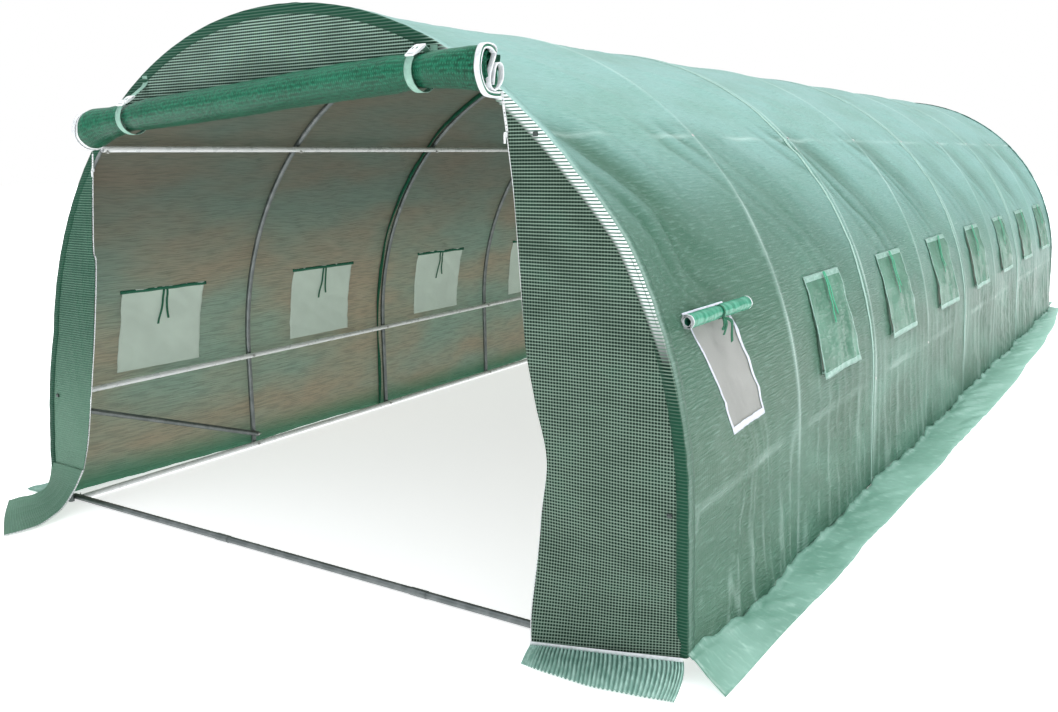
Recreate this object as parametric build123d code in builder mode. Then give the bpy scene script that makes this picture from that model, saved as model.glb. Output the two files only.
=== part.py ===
from build123d import *
import os
from math import acos, asin, atan2, cos, degrees, hypot, radians, sin

# Walk-in tunnel greenhouse: steel hoops in a row, joined by long tubes, under a sewn cover.
# Millimetres. X runs across, Y runs along the tunnel with the open door at -Y, Z is up.
# The origin is on the ground, at the middle of the tunnel.

os.makedirs("parts", exist_ok=True)

# Driving dimensions of the frame
BAYS = 8
PITCH = 1000.0              # hoop to hoop
ARCH_R = 1470.0             # centre-line of a hoop's half circle
LEG = 500.0                 # straight leg below the half circle
TUBE_R = 12.5
TUBE_BORE_R = 11.7
SPIGOT_R = 11.5             # swaged end that slips into the next tube
SPIGOT_BORE_R = 10.7
SPIGOT_LENGTH = 45.0
SHOULDER = 4.0              # where the swaged end meets the full tube
TUBE_GAP = 0.4              # between two crossed tubes
SLIP_GAP = 0.3              # between two tube ends in a joint
BOLT_TO_JOINT = 20.0        # from a bolt to the end of the outer tube

# Fasteners
BOLT_R = 3.0
HOLE_R = 3.2
HEAD_R = 7.0
HEAD_HEIGHT = 2.4
HEAD_ROUND = 1.7
SEAT_GAP = 0.1              # under a head, and over a nut
NUT_R = 5.5
NUT_HEIGHT = 6.0
WING_SPAN = 26.0
WING_HEIGHT = 9.0
WING_THICKNESS = 1.6
WING_SLOPE = 60.0
THREAD_END = 4.0            # bolt past the nut

# Long tubes and braces
MID_RAIL_Z = 480.0
PURLIN_ANGLES = {"purlin_right": 45.0, "ridge_pole": 90.0, "purlin_left": 135.0}
BRACE_HIGH_Z = 425.0
BRACE_LOW_Z = 65.0
BRACE_OVERHANG = 9.0
COUPLER_R = 14.0
COUPLER_BORE_R = 12.6
COUPLER_LENGTH = 70.0
COUPLER_X = 500.0
COUPLER_SLIT = 1.0

# Cover, end walls and skirts
FILM = 0.8                  # thickness of every sheet of the cover
COVER_GAP = 3.5             # from the outside of a tube to the cover
CORNER_R = 1498.0           # the cover's creases lie on this radius, so its flats clear the hoops
PANEL_BAYS = 2              # bays under one sewn panel
ROOF_FLATS = 11
SKIRT = 1.5                 # thickness of the ground skirts
SKIRT_X = 1745.0
SKIRT_Y = 4390.0
FRONT_SKIRT_LEFT = [(-1740.0, -4150.0), (-1300.0, -SKIRT_Y), (-1205.0, -4265.0)]
FRONT_SKIRT_RIGHT = [(1050.0, -4175.0), (1575.0, -4155.0), (1660.0, -4035.0)]
FRONT_SKIRT_ENDS = {"left": (-1480.0, -1420.0), "right": (1480.0, 990.0)}    # where they leave the wall

# Windows: an opening in the middle of every bay, on both sides. The cover hangs lower on the left.
WINDOW_WIDTH = 400.0
WINDOW_HEIGHT = 360.0
WINDOW_LOW = {"right": 645.0, "left": 530.0}
SCREEN_EDGE = 15.0          # how far a screen runs past its opening
FLAP_EDGE = 30.0            # how far a flap runs past its opening
FLAP_GAP = 0.8
ROLLED_FLAP_R = 22.0
ROLLED_FLAP_ANGLE = 19.2

# Door, rolled up under the front wall's top panel. The roll hangs lower on the left.
ROLL_R = 62.0
ROLL_LEFT = (-970.0, 1588.0)
ROLL_RIGHT = (915.0, 1722.0)
ROLL_BACK_GAP = 3.2         # from the front wall to the back of the roll
HEADER_ANGLES = (62.1, 125.0)    # where the header seam meets the arch
LEFT_ZIP_ANGLE = 136.4           # where the door's zip edges meet the arch
RIGHT_ZIP_ANGLE = 51.5
LEFT_ZIP = [(-1425.0, 1.5), (-1350.0, 120.0), (-1235.0, 480.0), (-1160.0, 800.0), (-1115.0, 1150.0)]
RIGHT_ZIP = [(985.0, 1000.0), (1060.0, 580.0), (990.0, 1.5)]
CURTAIN_GAP = 0.8
STRAP_X = {"left": -745.0, "right": 655.0}
STRAP_WIDTH = 25.0
STRAP = 1.2
STRAP_RISE = 135.0          # of the strap's sewn end above the roll's axis
STRAP_LINE_R = ROLL_R + 8.0 # from the roll's axis to the middle of the buckle
TAIL_R = ROLL_R + 2.0
TAIL_FROM = 52.0            # angles round the roll
TAIL_TO = -160.0
BUCKLE_WIDTH = 34.0
SOCKET_LENGTH = 32.0
SOCKET_THICKNESS = 9.0
SOCKET_ROUND = 3.0
PLUG_WIDTH = 30.0
PLUG_LENGTH = 21.0
PLUG_THICKNESS = 7.5
PLUG_ROUND = 2.0
BUCKLE_SLIT = 0.6

# Zips
SLIDER_WIDTH = 12.0
SLIDER_DEPTH = 9.0
SLIDER_HEIGHT = 14.0
SLIDER_ROUND = 3.0
SLIDER_GAP = 0.7
PULL_WIDTH = 8.0
PULL_THICKNESS = 2.0
PULL_LENGTH = 30.0
FRONT_SLIDERS = {"left": (-1081.0, 1440.0), "right": (936.0, 1540.0)}
REAR_SLIDER_Z = 70.0
REAR_DOOR_HALF = 1000.0
REAR_HEADER_Z = 1750.0
PANEL_SLIT = 1.0            # between the rear door and the wall around it

HALF_LENGTH = BAYS * PITCH / 2
HOOP_YS = [number * PITCH - HALF_LENGTH for number in range(BAYS + 1)]
TUBE_STEP = 2 * TUBE_R + TUBE_GAP
INNER_R = ARCH_R - TUBE_STEP                    # centre-lines of the long tubes
WALL_X = ARCH_R + TUBE_R + COVER_GAP            # inside of the cover at the ground
WALL_Y = HALF_LENGTH + TUBE_R + COVER_GAP       # inside of the end walls
END_R = ARCH_R + TUBE_R                         # outline of the end walls
ROLL_Y = -(WALL_Y + FILM + ROLL_BACK_GAP + ROLL_R)


def polar(radius, angle):
    """Across and up from the middle of the half circles; the angle starts at the right."""
    return radius * cos(radians(angle)), LEG + radius * sin(radians(angle))


def angle_at(height):
    """Angle at which a point of the cover's creases has this height."""
    return degrees(asin((height - LEG) / CORNER_R))


def save(piece, name):
    """Labels a sub-part and writes it."""
    piece.label = name
    export_step(piece, f"parts/{name}.step")


def straight_tube(start, end, outer, bore):
    """A straight tube between two points."""
    run = Vector(*end) - Vector(*start)
    with BuildPart() as tube:
        with BuildSketch(Plane(origin=start, z_dir=run)):
            Circle(outer)
            Circle(bore, mode=Mode.SUBTRACT)
        extrude(amount=run.length)
    return tube.part


def bent_tube(first, last, outer, bore):
    """A tube bent along the arch, between two angles."""
    across, up = polar(ARCH_R, first)
    square = Plane(
        origin=(across, 0, up), x_dir=(0, 1, 0), z_dir=(-sin(radians(first)), 0, cos(radians(first)))
    )
    with BuildPart() as tube:
        with BuildSketch(square):
            Circle(outer)
            Circle(bore, mode=Mode.SUBTRACT)
        revolve(axis=Axis((0, 0, LEG), (0, -1, 0)), revolution_arc=last - first)
    return tube.part


def sheet(outline, y_low, y_high):
    """A sheet whose outline lies across the tunnel, from y_low to y_high."""
    with BuildPart() as cut:
        with BuildSketch(Plane(origin=(0, y_low, 0), x_dir=(1, 0, 0), z_dir=(0, -1, 0))):
            with BuildLine():
                Polyline(*outline, close=True)
            make_face()
        extrude(amount=y_low - y_high)
    return cut.part


def ground_sheet(outline):
    """A skirt lying on the ground."""
    with BuildPart() as cut:
        with BuildSketch(Plane.XY):
            with BuildLine():
                Polyline(*outline, close=True)
            make_face()
        extrude(amount=SKIRT)
    return cut.part


def bolt_frames():
    """Where each bolt goes through a hoop: on the tube's centre-line, Z pointing to the head."""
    frames = []
    for y in HOOP_YS:
        ends = y in (HOOP_YS[0], HOOP_YS[-1])
        for side in (1, -1):
            heights = [MID_RAIL_Z]
            if ends:
                heights.append(BRACE_HIGH_Z)
                foot = Plane(
                    origin=(side * ARCH_R, y, COUPLER_R), x_dir=(0, 0, 1), z_dir=(0, 1 if y > 0 else -1, 0)
                )
                frames.append((y, foot))
            else:
                heights.append(TUBE_R)
            if y in (HOOP_YS[1], HOOP_YS[-2]):
                heights.append(BRACE_LOW_Z)
            for height in heights:
                across = Plane(origin=(side * ARCH_R, y, height), x_dir=(0, 1, 0), z_dir=(side, 0, 0))
                frames.append((y, across))
        for angle in PURLIN_ANGLES.values():
            x, z = polar(ARCH_R, angle)
            outward = (cos(radians(angle)), 0, sin(radians(angle)))
            frames.append((y, Plane(origin=(x, y, z), x_dir=(0, 1, 0), z_dir=outward)))
    return frames


BOLTS = bolt_frames()


# Hoops: two legs and four bent tubes, swaged into each other and bolted at the long tubes

joint_turn = degrees(BOLT_TO_JOINT / ARCH_R)
spigot_turn = degrees(SPIGOT_LENGTH / ARCH_R)
shoulder_turn = degrees(SHOULDER / ARCH_R)
slip_turn = degrees(SLIP_GAP / ARCH_R)
right_joint, ridge_joint, left_joint = 45.0 + joint_turn, 90.0 + joint_turn, 135.0 - joint_turn


def bend(first, last, spigot_at_first, spigot_at_last):
    """One bent tube of a hoop. A swaged end slips into the tube beside it."""
    low = first + (shoulder_turn if spigot_at_first else 0)
    high = last - (shoulder_turn if spigot_at_last else 0)
    with BuildPart() as tube:
        add(bent_tube(low, high, TUBE_R, TUBE_BORE_R))
        if spigot_at_first:
            add(bent_tube(first, low, TUBE_R, SPIGOT_BORE_R))
        if spigot_at_last:
            add(bent_tube(high, last, TUBE_R, SPIGOT_BORE_R))
        if spigot_at_first and first > 0:
            add(bent_tube(first - spigot_turn, first, SPIGOT_R, SPIGOT_BORE_R))
        if spigot_at_last and last < 180:
            add(bent_tube(last, last + spigot_turn, SPIGOT_R, SPIGOT_BORE_R))
        for side, at_leg in ((1, first == 0), (-1, last == 180)):
            if at_leg:
                foot = (side * ARCH_R, 0, LEG - SPIGOT_LENGTH)
                add(straight_tube(foot, (side * ARCH_R, 0, LEG), SPIGOT_R, SPIGOT_BORE_R))
    return tube.part


hoop_tubes = [
    straight_tube((ARCH_R, 0, 0), (ARCH_R, 0, LEG - SLIP_GAP), TUBE_R, TUBE_BORE_R),
    bend(0, right_joint - slip_turn, True, False),
    bend(right_joint, ridge_joint - slip_turn, True, False),
    bend(ridge_joint, left_joint, True, True),
    bend(left_joint + slip_turn, 180, False, True),
    straight_tube((-ARCH_R, 0, 0), (-ARCH_R, 0, LEG - SLIP_GAP), TUBE_R, TUBE_BORE_R),
]

for number, y in enumerate(HOOP_YS, start=1):
    with BuildPart() as hoop:
        with Locations((0, y, 0)):
            add(hoop_tubes)
        with Locations(*[Location(frame) for bolt_y, frame in BOLTS if bolt_y == y]):
            Cylinder(HOLE_R, 3 * TUBE_R, mode=Mode.SUBTRACT)
    save(hoop.part, f"hoop_{number}")

# Long tubes inside the hoops, bolted to each of them

tube_end = HALF_LENGTH + TUBE_R
bar_y = HALF_LENGTH - TUBE_STEP
rail_end = bar_y - TUBE_R - SLIP_GAP
long_tubes = {
    "ground_rail_right": (INNER_R, TUBE_R, rail_end),
    "ground_rail_left": (-INNER_R, TUBE_R, rail_end),
    "mid_rail_right": (INNER_R, MID_RAIL_Z, tube_end),
    "mid_rail_left": (-INNER_R, MID_RAIL_Z, tube_end),
}
for name, angle in PURLIN_ANGLES.items():
    long_tubes[name] = (*polar(INNER_R, angle), tube_end)

for name, (x, z, end) in long_tubes.items():
    with BuildPart() as long_tube:
        add(straight_tube((x, -end, z), (x, end, z), TUBE_R, TUBE_BORE_R))
        with Locations(*[Location(frame) for _, frame in BOLTS]):
            Cylinder(HOLE_R, 4 * TUBE_STEP, mode=Mode.SUBTRACT)
    save(long_tube.part, name)

# Ground bars across both ends: three tubes and two couplers each, raised by the couplers

bar_end = ARCH_R + TUBE_R
bar_tubes = [
    (-bar_end, -COUPLER_X - COUPLER_SLIT),
    (-COUPLER_X + COUPLER_SLIT, COUPLER_X - COUPLER_SLIT),
    (COUPLER_X + COUPLER_SLIT, bar_end),
]
for name, y in (("front_ground_bar", -bar_y), ("rear_ground_bar", bar_y)):
    with BuildPart() as bar:
        for left, right in bar_tubes:
            add(straight_tube((left, y, COUPLER_R), (right, y, COUPLER_R), TUBE_R, TUBE_BORE_R))
        for x in (-COUPLER_X, COUPLER_X):
            left, right = x - COUPLER_LENGTH / 2, x + COUPLER_LENGTH / 2
            add(straight_tube((left, y, COUPLER_R), (right, y, COUPLER_R), COUPLER_R, COUPLER_BORE_R))
        with Locations(*[Location(frame) for _, frame in BOLTS]):
            Cylinder(HOLE_R, 4 * TUBE_STEP, mode=Mode.SUBTRACT)
    save(bar.part, name)

# Braces in the end bays, from high on an end hoop to low on the next one

brace_slope = (BRACE_HIGH_Z - BRACE_LOW_Z) / PITCH
with BuildPart() as braces:
    for x in (-INNER_R, INNER_R):
        for end in (-1, 1):
            high = (x, end * (HALF_LENGTH + BRACE_OVERHANG), BRACE_HIGH_Z + BRACE_OVERHANG * brace_slope)
            low = (
                x, end * (HALF_LENGTH - PITCH - BRACE_OVERHANG), BRACE_LOW_Z - BRACE_OVERHANG * brace_slope
            )
            add(straight_tube(high, low, TUBE_R, TUBE_BORE_R))
    with Locations(*[Location(frame) for _, frame in BOLTS]):
        Cylinder(HOLE_R, 4 * TUBE_STEP, mode=Mode.SUBTRACT)
save(braces.part, "braces")

# Round-headed bolts and wing nuts

head_under = TUBE_R + SEAT_GAP
nut_top = -(TUBE_R + TUBE_STEP + SEAT_GAP)
bolt_end = nut_top - NUT_HEIGHT - THREAD_END
with BuildPart() as bolt:
    with BuildSketch(Plane.XY.offset(bolt_end)):
        Circle(BOLT_R)
    extrude(amount=head_under - bolt_end)
    with BuildSketch(Plane.XY.offset(head_under)):
        Circle(HEAD_R)
    extrude(amount=HEAD_HEIGHT)
    fillet(bolt.edges().sort_by(Axis.Z)[-1], HEAD_ROUND)
with BuildPart() as wing_nut:
    with BuildSketch(Plane.XY.offset(nut_top)):
        Circle(NUT_R)
    extrude(amount=-NUT_HEIGHT)
    with BuildSketch(Plane.XZ.offset(-WING_THICKNESS / 2)):
        with Locations((0, nut_top - NUT_HEIGHT / 2)):
            Trapezoid(WING_SPAN, WING_HEIGHT / 2, WING_SLOPE, align=(Align.CENTER, Align.MAX))
    extrude(amount=WING_THICKNESS)
    with BuildSketch(Plane.XY.offset(nut_top)):
        Circle(HOLE_R)
    extrude(amount=-NUT_HEIGHT - WING_HEIGHT, mode=Mode.SUBTRACT)
with BuildPart() as frame_bolts:
    with Locations(*[Location(frame) for _, frame in BOLTS]):
        add(bolt.part)
        add(wing_nut.part)
save(frame_bolts.part, "frame_bolts")

# Cover: panels of flat strips between creases, with window openings in the two lowest flats

right_low, right_high = angle_at(WINDOW_LOW["right"]), angle_at(WINDOW_LOW["right"] + WINDOW_HEIGHT)
left_low = 180 - angle_at(WINDOW_LOW["left"])
left_high = 180 - angle_at(WINDOW_LOW["left"] + WINDOW_HEIGHT)
right_creases = [right_low, (right_low + right_high) / 2, right_high]
left_creases = [left_low, (left_low + left_high) / 2, left_high]
roof_creases = [
    right_high + (left_high - right_high) * number / ROOF_FLATS for number in range(ROOF_FLATS + 1)
]


def strip(first, last, inner, outer):
    """Outline of a flat strip between two creases."""
    return [polar(inner, first), polar(outer, first), polar(outer, last), polar(inner, last)]


def wall(side, crease):
    """Outline of the upright part of the cover, from the skirt up to the first crease."""
    return [
        (side * WALL_X, SKIRT), (side * (WALL_X + FILM), SKIRT),
        polar(CORNER_R + FILM, crease), polar(CORNER_R, crease),
    ]


panel_length = PANEL_BAYS * PITCH
window_ys = [y + PITCH / 2 for y in HOOP_YS[:-1]]
for number in range(BAYS // PANEL_BAYS):
    y_low = -HALF_LENGTH + number * panel_length
    y_high = y_low + panel_length
    openings = [y for y in window_ys if y_low < y < y_high]
    if number == 0:
        y_low = -WALL_Y
    if y_high == HALF_LENGTH:
        y_high = WALL_Y
    edges = [y_low]
    for y in openings:
        edges += [y - WINDOW_WIDTH / 2, y + WINDOW_WIDTH / 2]
    edges.append(y_high)
    piers = list(zip(edges[0::2], edges[1::2]))
    pieces = [
        sheet(wall(1, right_low), y_low, y_high),
        sheet(wall(-1, left_low), y_low, y_high),
    ]
    for first, last in zip(roof_creases, roof_creases[1:]):
        pieces.append(sheet(strip(first, last, CORNER_R, CORNER_R + FILM), y_low, y_high))
    for creases in (right_creases, left_creases):
        for first, last in zip(creases, creases[1:]):
            for start, end in piers:
                pieces.append(sheet(strip(first, last, CORNER_R, CORNER_R + FILM), start, end))
    save(Compound(children=pieces), f"cover_panel_{number + 1}")

# Insect screens inside the openings

for name, creases in (("right", right_creases), ("left", left_creases)):
    screens = []
    for y in window_ys:
        start, end = y - WINDOW_WIDTH / 2 - SCREEN_EDGE, y + WINDOW_WIDTH / 2 + SCREEN_EDGE
        for first, last in zip(creases, creases[1:]):
            screens.append(sheet(strip(first, last, CORNER_R - 2 * FILM, CORNER_R - FILM), start, end))
    save(Compound(children=screens), f"window_screens_{name}")

# Window flaps, hinged at the top. The front right one is rolled up and tied.

flap_in = CORNER_R + FILM + FLAP_GAP
flap_out = flap_in + FILM
for name, side, creases in (("right", 1, right_creases), ("left", -1, left_creases)):
    low_x, low_z = polar(flap_in, creases[0])
    out_x = polar(flap_out, creases[0])[0]
    hem = [(low_x, low_z), (out_x, low_z), (out_x, low_z - FLAP_EDGE), (low_x, low_z - FLAP_EDGE)]
    for number, y in enumerate(window_ys, start=1):
        start, end = y - WINDOW_WIDTH / 2 - FLAP_EDGE, y + WINDOW_WIDTH / 2 + FLAP_EDGE
        if name == "right" and number == 1:
            x, z = polar(CORNER_R + FILM + FLAP_GAP + ROLLED_FLAP_R, ROLLED_FLAP_ANGLE)
            with BuildPart() as flap:
                with BuildSketch(Plane(origin=(x, start, z), z_dir=(0, 1, 0))):
                    Circle(ROLLED_FLAP_R)
                extrude(amount=end - start)
            save(flap.part, f"flap_{name}_{number}")
        else:
            leaves = [sheet(hem, start, end)]
            for first, last in zip(creases, creases[1:]):
                leaves.append(sheet(strip(first, last, flap_in, flap_out), start, end))
            save(Compound(children=leaves), f"flap_{name}_{number}")

# Front wall: two side panels and a top panel around the open door


def end_panel(offset, first, last, *inner):
    """A panel of an end wall: the arch from one angle to the next, then the inner edge back."""
    with BuildPart() as cut:
        with BuildSketch(Plane.XZ.offset(offset)):
            with BuildLine():
                arch = CenterArc((0, LEG), END_R, first, last - first)
                Polyline(arch @ 1, *inner, arch @ 0)
            make_face()
        extrude(amount=FILM)
    return cut.part


def flat_panel(offset, *outline):
    """A panel with straight edges, across the tunnel."""
    with BuildPart() as cut:
        with BuildSketch(Plane.XZ.offset(offset)):
            with BuildLine():
                Polyline(*outline, close=True)
            make_face()
        extrude(amount=FILM)
    return cut.part


save(end_panel(WALL_Y, LEFT_ZIP_ANGLE, 180, (-END_R, SKIRT), *LEFT_ZIP), "front_wall_left")
zip_high, zip_bulge, zip_low = RIGHT_ZIP
spring = (END_R, LEG)
above_spring = end_panel(WALL_Y, 0, RIGHT_ZIP_ANGLE, zip_high, zip_bulge)
below_spring = flat_panel(WALL_Y, zip_bulge, spring, (END_R, SKIRT), zip_low)
save(Compound(children=[above_spring, below_spring]), "front_wall_right")
save(end_panel(WALL_Y, *HEADER_ANGLES), "front_wall_top")

# Rear wall: the same three panels around a closed door

rear = -(WALL_Y + FILM)
door_x = REAR_DOOR_HALF
wall_x = REAR_DOOR_HALF + PANEL_SLIT
jamb = degrees(acos(wall_x / END_R))
door_jamb = degrees(acos(door_x / END_R))
header = degrees(asin((REAR_HEADER_Z - LEG) / END_R))
door_top = degrees(asin((REAR_HEADER_Z - PANEL_SLIT - LEG) / END_R))
rear_panels = [
    end_panel(rear, 0, jamb, (wall_x, SKIRT), (END_R, SKIRT)),
    end_panel(rear, 180 - jamb, 180, (-END_R, SKIRT), (-wall_x, SKIRT)),
    end_panel(rear, header, 180 - header),
]
save(Compound(children=rear_panels), "rear_wall")
with BuildPart() as rear_door:
    with BuildSketch(Plane.XZ.offset(rear)):
        with BuildLine():
            right_edge = CenterArc((0, LEG), END_R, door_jamb, door_top - door_jamb)
            left_edge = CenterArc((0, LEG), END_R, 180 - door_top, door_top - door_jamb)
            Line(right_edge @ 1, left_edge @ 0)
            Polyline(left_edge @ 1, (-door_x, SKIRT), (door_x, SKIRT), right_edge @ 0)
        make_face()
    extrude(amount=FILM)
save(rear_door.part, "rear_door")

# Ground skirts: one along each side, two flaps at the front, one at the rear

side_outline = [(WALL_X, -WALL_Y), (SKIRT_X, -WALL_Y), (SKIRT_X, WALL_Y), (WALL_X, WALL_Y)]
save(ground_sheet(side_outline), "skirt_right")
save(ground_sheet([(-x, y) for x, y in side_outline]), "skirt_left")
front_y = -(WALL_Y + FILM)
for name, corners in (("left", FRONT_SKIRT_LEFT), ("right", FRONT_SKIRT_RIGHT)):
    outer_x, door_edge_x = FRONT_SKIRT_ENDS[name]
    if name == "right":
        corners = corners[::-1]
    outline = [(outer_x, front_y), *corners, (door_edge_x, front_y)]
    save(ground_sheet(outline), f"skirt_front_{name}")
rear_x = FRONT_SKIRT_ENDS["right"][0]
rear_outline = [(-rear_x, -front_y), (rear_x, -front_y), (rear_x, SKIRT_Y), (-rear_x, SKIRT_Y)]
save(ground_sheet(rear_outline), "skirt_rear")

# Rolled-up door, and the strip of it between the header seam and the roll

(roll_x, roll_z), (roll_far_x, roll_far_z) = ROLL_LEFT, ROLL_RIGHT
roll_slope = (roll_far_z - roll_z) / (roll_far_x - roll_x)
roll_run = Vector(roll_far_x - roll_x, 0, roll_far_z - roll_z)
with BuildPart() as door_roll:
    with BuildSketch(Plane(origin=(roll_x, ROLL_Y, roll_z), z_dir=roll_run)):
        Circle(ROLL_R)
    extrude(amount=roll_run.length)
save(door_roll.part, "door_roll")

header_left, header_right = polar(END_R, HEADER_ANGLES[1]), polar(END_R, HEADER_ANGLES[0])
curtain = flat_panel(WALL_Y + FILM + CURTAIN_GAP, header_left, ROLL_LEFT, ROLL_RIGHT, header_right)
save(curtain, "door_curtain")

# Straps that hold the roll. The socket half stays up; the plug half and its tail go under the roll.

seam = Vector(-(ROLL_R + ROLL_BACK_GAP) + STRAP, STRAP_RISE)
seam_angle = degrees(atan2(seam.Y, seam.X))
touch_angle = seam_angle - degrees(acos(STRAP_LINE_R / hypot(seam.X, seam.Y)))
touch = Vector(cos(radians(touch_angle)), sin(radians(touch_angle))) * STRAP_LINE_R
strap_run = touch - seam
strap_turn = degrees(atan2(strap_run.Y, strap_run.X))
plug_at = strap_run.length
socket_at = plug_at - (PLUG_LENGTH + SOCKET_LENGTH) / 2 - BUCKLE_SLIT
socket_start = socket_at - SOCKET_LENGTH / 2


def along_strap(distance):
    """A place on the strap's straight stretch, this far from its sewn end."""
    spot = seam + strap_run.normalized() * distance
    return Location((spot.X, spot.Y, 0), (0, 0, strap_turn))


strap_pieces, tail_pieces = [], []
for x in STRAP_X.values():
    middle = (x, ROLL_Y, roll_z + (x - roll_x) * roll_slope)
    across_roll = Plane(origin=middle, x_dir=(0, -1, 0), z_dir=(-1, 0, 0))
    with BuildPart() as webbing:
        with BuildSketch(across_roll):
            with Locations(along_strap(socket_start / 2)):
                Rectangle(socket_start, STRAP)
        extrude(amount=STRAP_WIDTH / 2, both=True)
    with BuildPart() as socket:
        with BuildSketch(across_roll):
            with Locations(along_strap(socket_at)):
                RectangleRounded(SOCKET_LENGTH, SOCKET_THICKNESS, SOCKET_ROUND)
        extrude(amount=BUCKLE_WIDTH / 2, both=True)
    with BuildPart() as plug:
        with BuildSketch(across_roll):
            with Locations(along_strap(plug_at)):
                RectangleRounded(PLUG_LENGTH, PLUG_THICKNESS, PLUG_ROUND)
        extrude(amount=PLUG_WIDTH / 2, both=True)
    with BuildPart() as tail:
        with BuildSketch(across_roll):
            with BuildLine():
                inside = CenterArc((0, 0), TAIL_R, TAIL_FROM, TAIL_TO - TAIL_FROM)
                outside = CenterArc((0, 0), TAIL_R + STRAP, TAIL_FROM, TAIL_TO - TAIL_FROM)
                Line(inside @ 0, outside @ 0)
                Line(inside @ 1, outside @ 1)
            make_face()
        extrude(amount=STRAP_WIDTH / 2, both=True)
    strap_pieces += [webbing.part, socket.part]
    tail_pieces += [plug.part, tail.part]
save(Compound(children=strap_pieces), "door_straps")
save(Compound(children=tail_pieces), "strap_tails")

# Zip sliders with their pull tabs: two at the top of the open front door, two at the foot of the rear


def slider(x, z, face_y, outward):
    """A zip slider standing off an end wall, with its pull hanging on the outside."""
    body_y = face_y + outward * (SLIDER_GAP + SLIDER_DEPTH / 2)
    pull_y = face_y + outward * (SLIDER_GAP + SLIDER_DEPTH + PULL_THICKNESS / 2)
    with BuildPart() as body:
        with Locations((x, body_y, z)):
            Box(SLIDER_WIDTH, SLIDER_DEPTH, SLIDER_HEIGHT)
        fillet(body.edges().filter_by(Axis.Y), SLIDER_ROUND)
        with Locations((x, pull_y, z + PULL_WIDTH / 2)):
            Box(PULL_WIDTH, PULL_THICKNESS, PULL_LENGTH, align=(Align.CENTER, Align.CENTER, Align.MAX))
    return body.part


outer_y = WALL_Y + FILM
for name, (x, z) in FRONT_SLIDERS.items():
    save(slider(x, z, -outer_y, -1), f"front_zip_slider_{name}")
for name, side in (("left", -1), ("right", 1)):
    save(slider(side * REAR_DOOR_HALF, REAR_SLIDER_Z, outer_y, 1), f"rear_zip_slider_{name}")
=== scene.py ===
import math

import bmesh
import bpy
import numpy as np
from mathutils import Matrix, Vector


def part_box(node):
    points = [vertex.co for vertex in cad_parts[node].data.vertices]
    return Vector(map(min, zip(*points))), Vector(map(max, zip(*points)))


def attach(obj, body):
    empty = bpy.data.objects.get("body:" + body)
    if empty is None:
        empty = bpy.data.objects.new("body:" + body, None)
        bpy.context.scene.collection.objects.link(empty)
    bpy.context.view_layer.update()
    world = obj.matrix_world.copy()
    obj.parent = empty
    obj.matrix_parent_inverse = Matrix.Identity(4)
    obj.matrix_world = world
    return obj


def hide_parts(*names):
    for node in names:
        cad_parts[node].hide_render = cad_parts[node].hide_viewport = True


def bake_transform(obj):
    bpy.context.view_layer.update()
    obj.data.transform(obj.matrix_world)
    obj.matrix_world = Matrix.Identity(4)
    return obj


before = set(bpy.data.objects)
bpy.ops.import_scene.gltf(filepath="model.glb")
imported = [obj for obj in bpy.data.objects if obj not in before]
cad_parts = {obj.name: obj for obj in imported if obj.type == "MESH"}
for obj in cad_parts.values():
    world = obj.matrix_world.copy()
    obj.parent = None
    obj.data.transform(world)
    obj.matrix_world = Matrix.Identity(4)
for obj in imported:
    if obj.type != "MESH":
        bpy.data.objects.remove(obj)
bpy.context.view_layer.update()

# Walk-in tunnel greenhouse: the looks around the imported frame.
# Metres, in the frame's own axes: X across, Y along the tunnel with the open door at -Y, Z up.

# Sizes read from the frame
HOOPS = sorted(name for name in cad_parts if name.startswith("hoop_"))
HOOP_YS = sorted(sum(corner.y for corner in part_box(name)) / 2 for name in HOOPS)
PITCH = HOOP_YS[1] - HOOP_YS[0]
hoop_low, hoop_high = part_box("hoop_1")
END_R = hoop_high.x                         # outside of a hoop
LEG = hoop_high.z - END_R                   # straight leg below the half circle
TUBE_R = (hoop_high.y - hoop_low.y) / 2
FRONT_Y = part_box("front_wall_top")[0].y     # outer face of the front wall
REAR_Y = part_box("rear_door")[1].y
MID_RAIL_Z = sum(corner.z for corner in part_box("mid_rail_right")) / 2

# Cloth
FILM = 0.0008
CELL = 0.016                                # spacing of the points of a large sheet
COVER_R = END_R + 0.0012                    # outside of the cover where it lies on a hoop
GIRTH = 2 * LEG + math.pi * COVER_R         # along the cover from the right foot to the left foot
COVER_EDGES = [0.004, GIRTH - 0.004]        # places of its two feet, just off the ground
LOW = 0.0015                                # height of other cloth's lowest points
SAG = 0.013                                 # how far the cover hangs in between two hoops
FOOT_BULGE = 0.050                          # how far its foot strays outward between two hoops
SEAM_SHIFT = -0.04                          # a sewn seam lies just in front of its hoop
TOUCH = 0.008                               # half width of the stretch where the cover lies on a hoop
THREAD = 0.0098                             # spacing of the threads in the end walls

# The rolled-up door
roll_low, roll_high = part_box("door_roll")
ROLL_R = (roll_high.y - roll_low.y) / 2
ROLL_Y = (roll_high.y + roll_low.y) / 2
ROLL_LEFT = Vector((roll_low.x, ROLL_Y, roll_low.z + ROLL_R))
ROLL_RIGHT = Vector((roll_high.x, ROLL_Y, roll_high.z - ROLL_R))
ROLL_TURNS = 6
ROLL_CORE = 0.012
ROLL_BOW = 0.027                            # the straps hold the roll's middle above its ends
strap_low, strap_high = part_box("door_straps")
STRAP_WIDTH = 0.028
STRAP_XS = {"left": strap_low.x + 0.045, "right": strap_high.x + 0.003}

# Windows
SIDES = {"right": 1, "left": -1}
WINDOW_WIDTH = 0.40
WINDOW_YS = [y + PITCH / 2 for y in HOOP_YS[:-1]]
FLAP_WIDTH = WINDOW_WIDTH + 0.05
NET_LAP = 0.014                             # how far a net reaches past its opening


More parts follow.
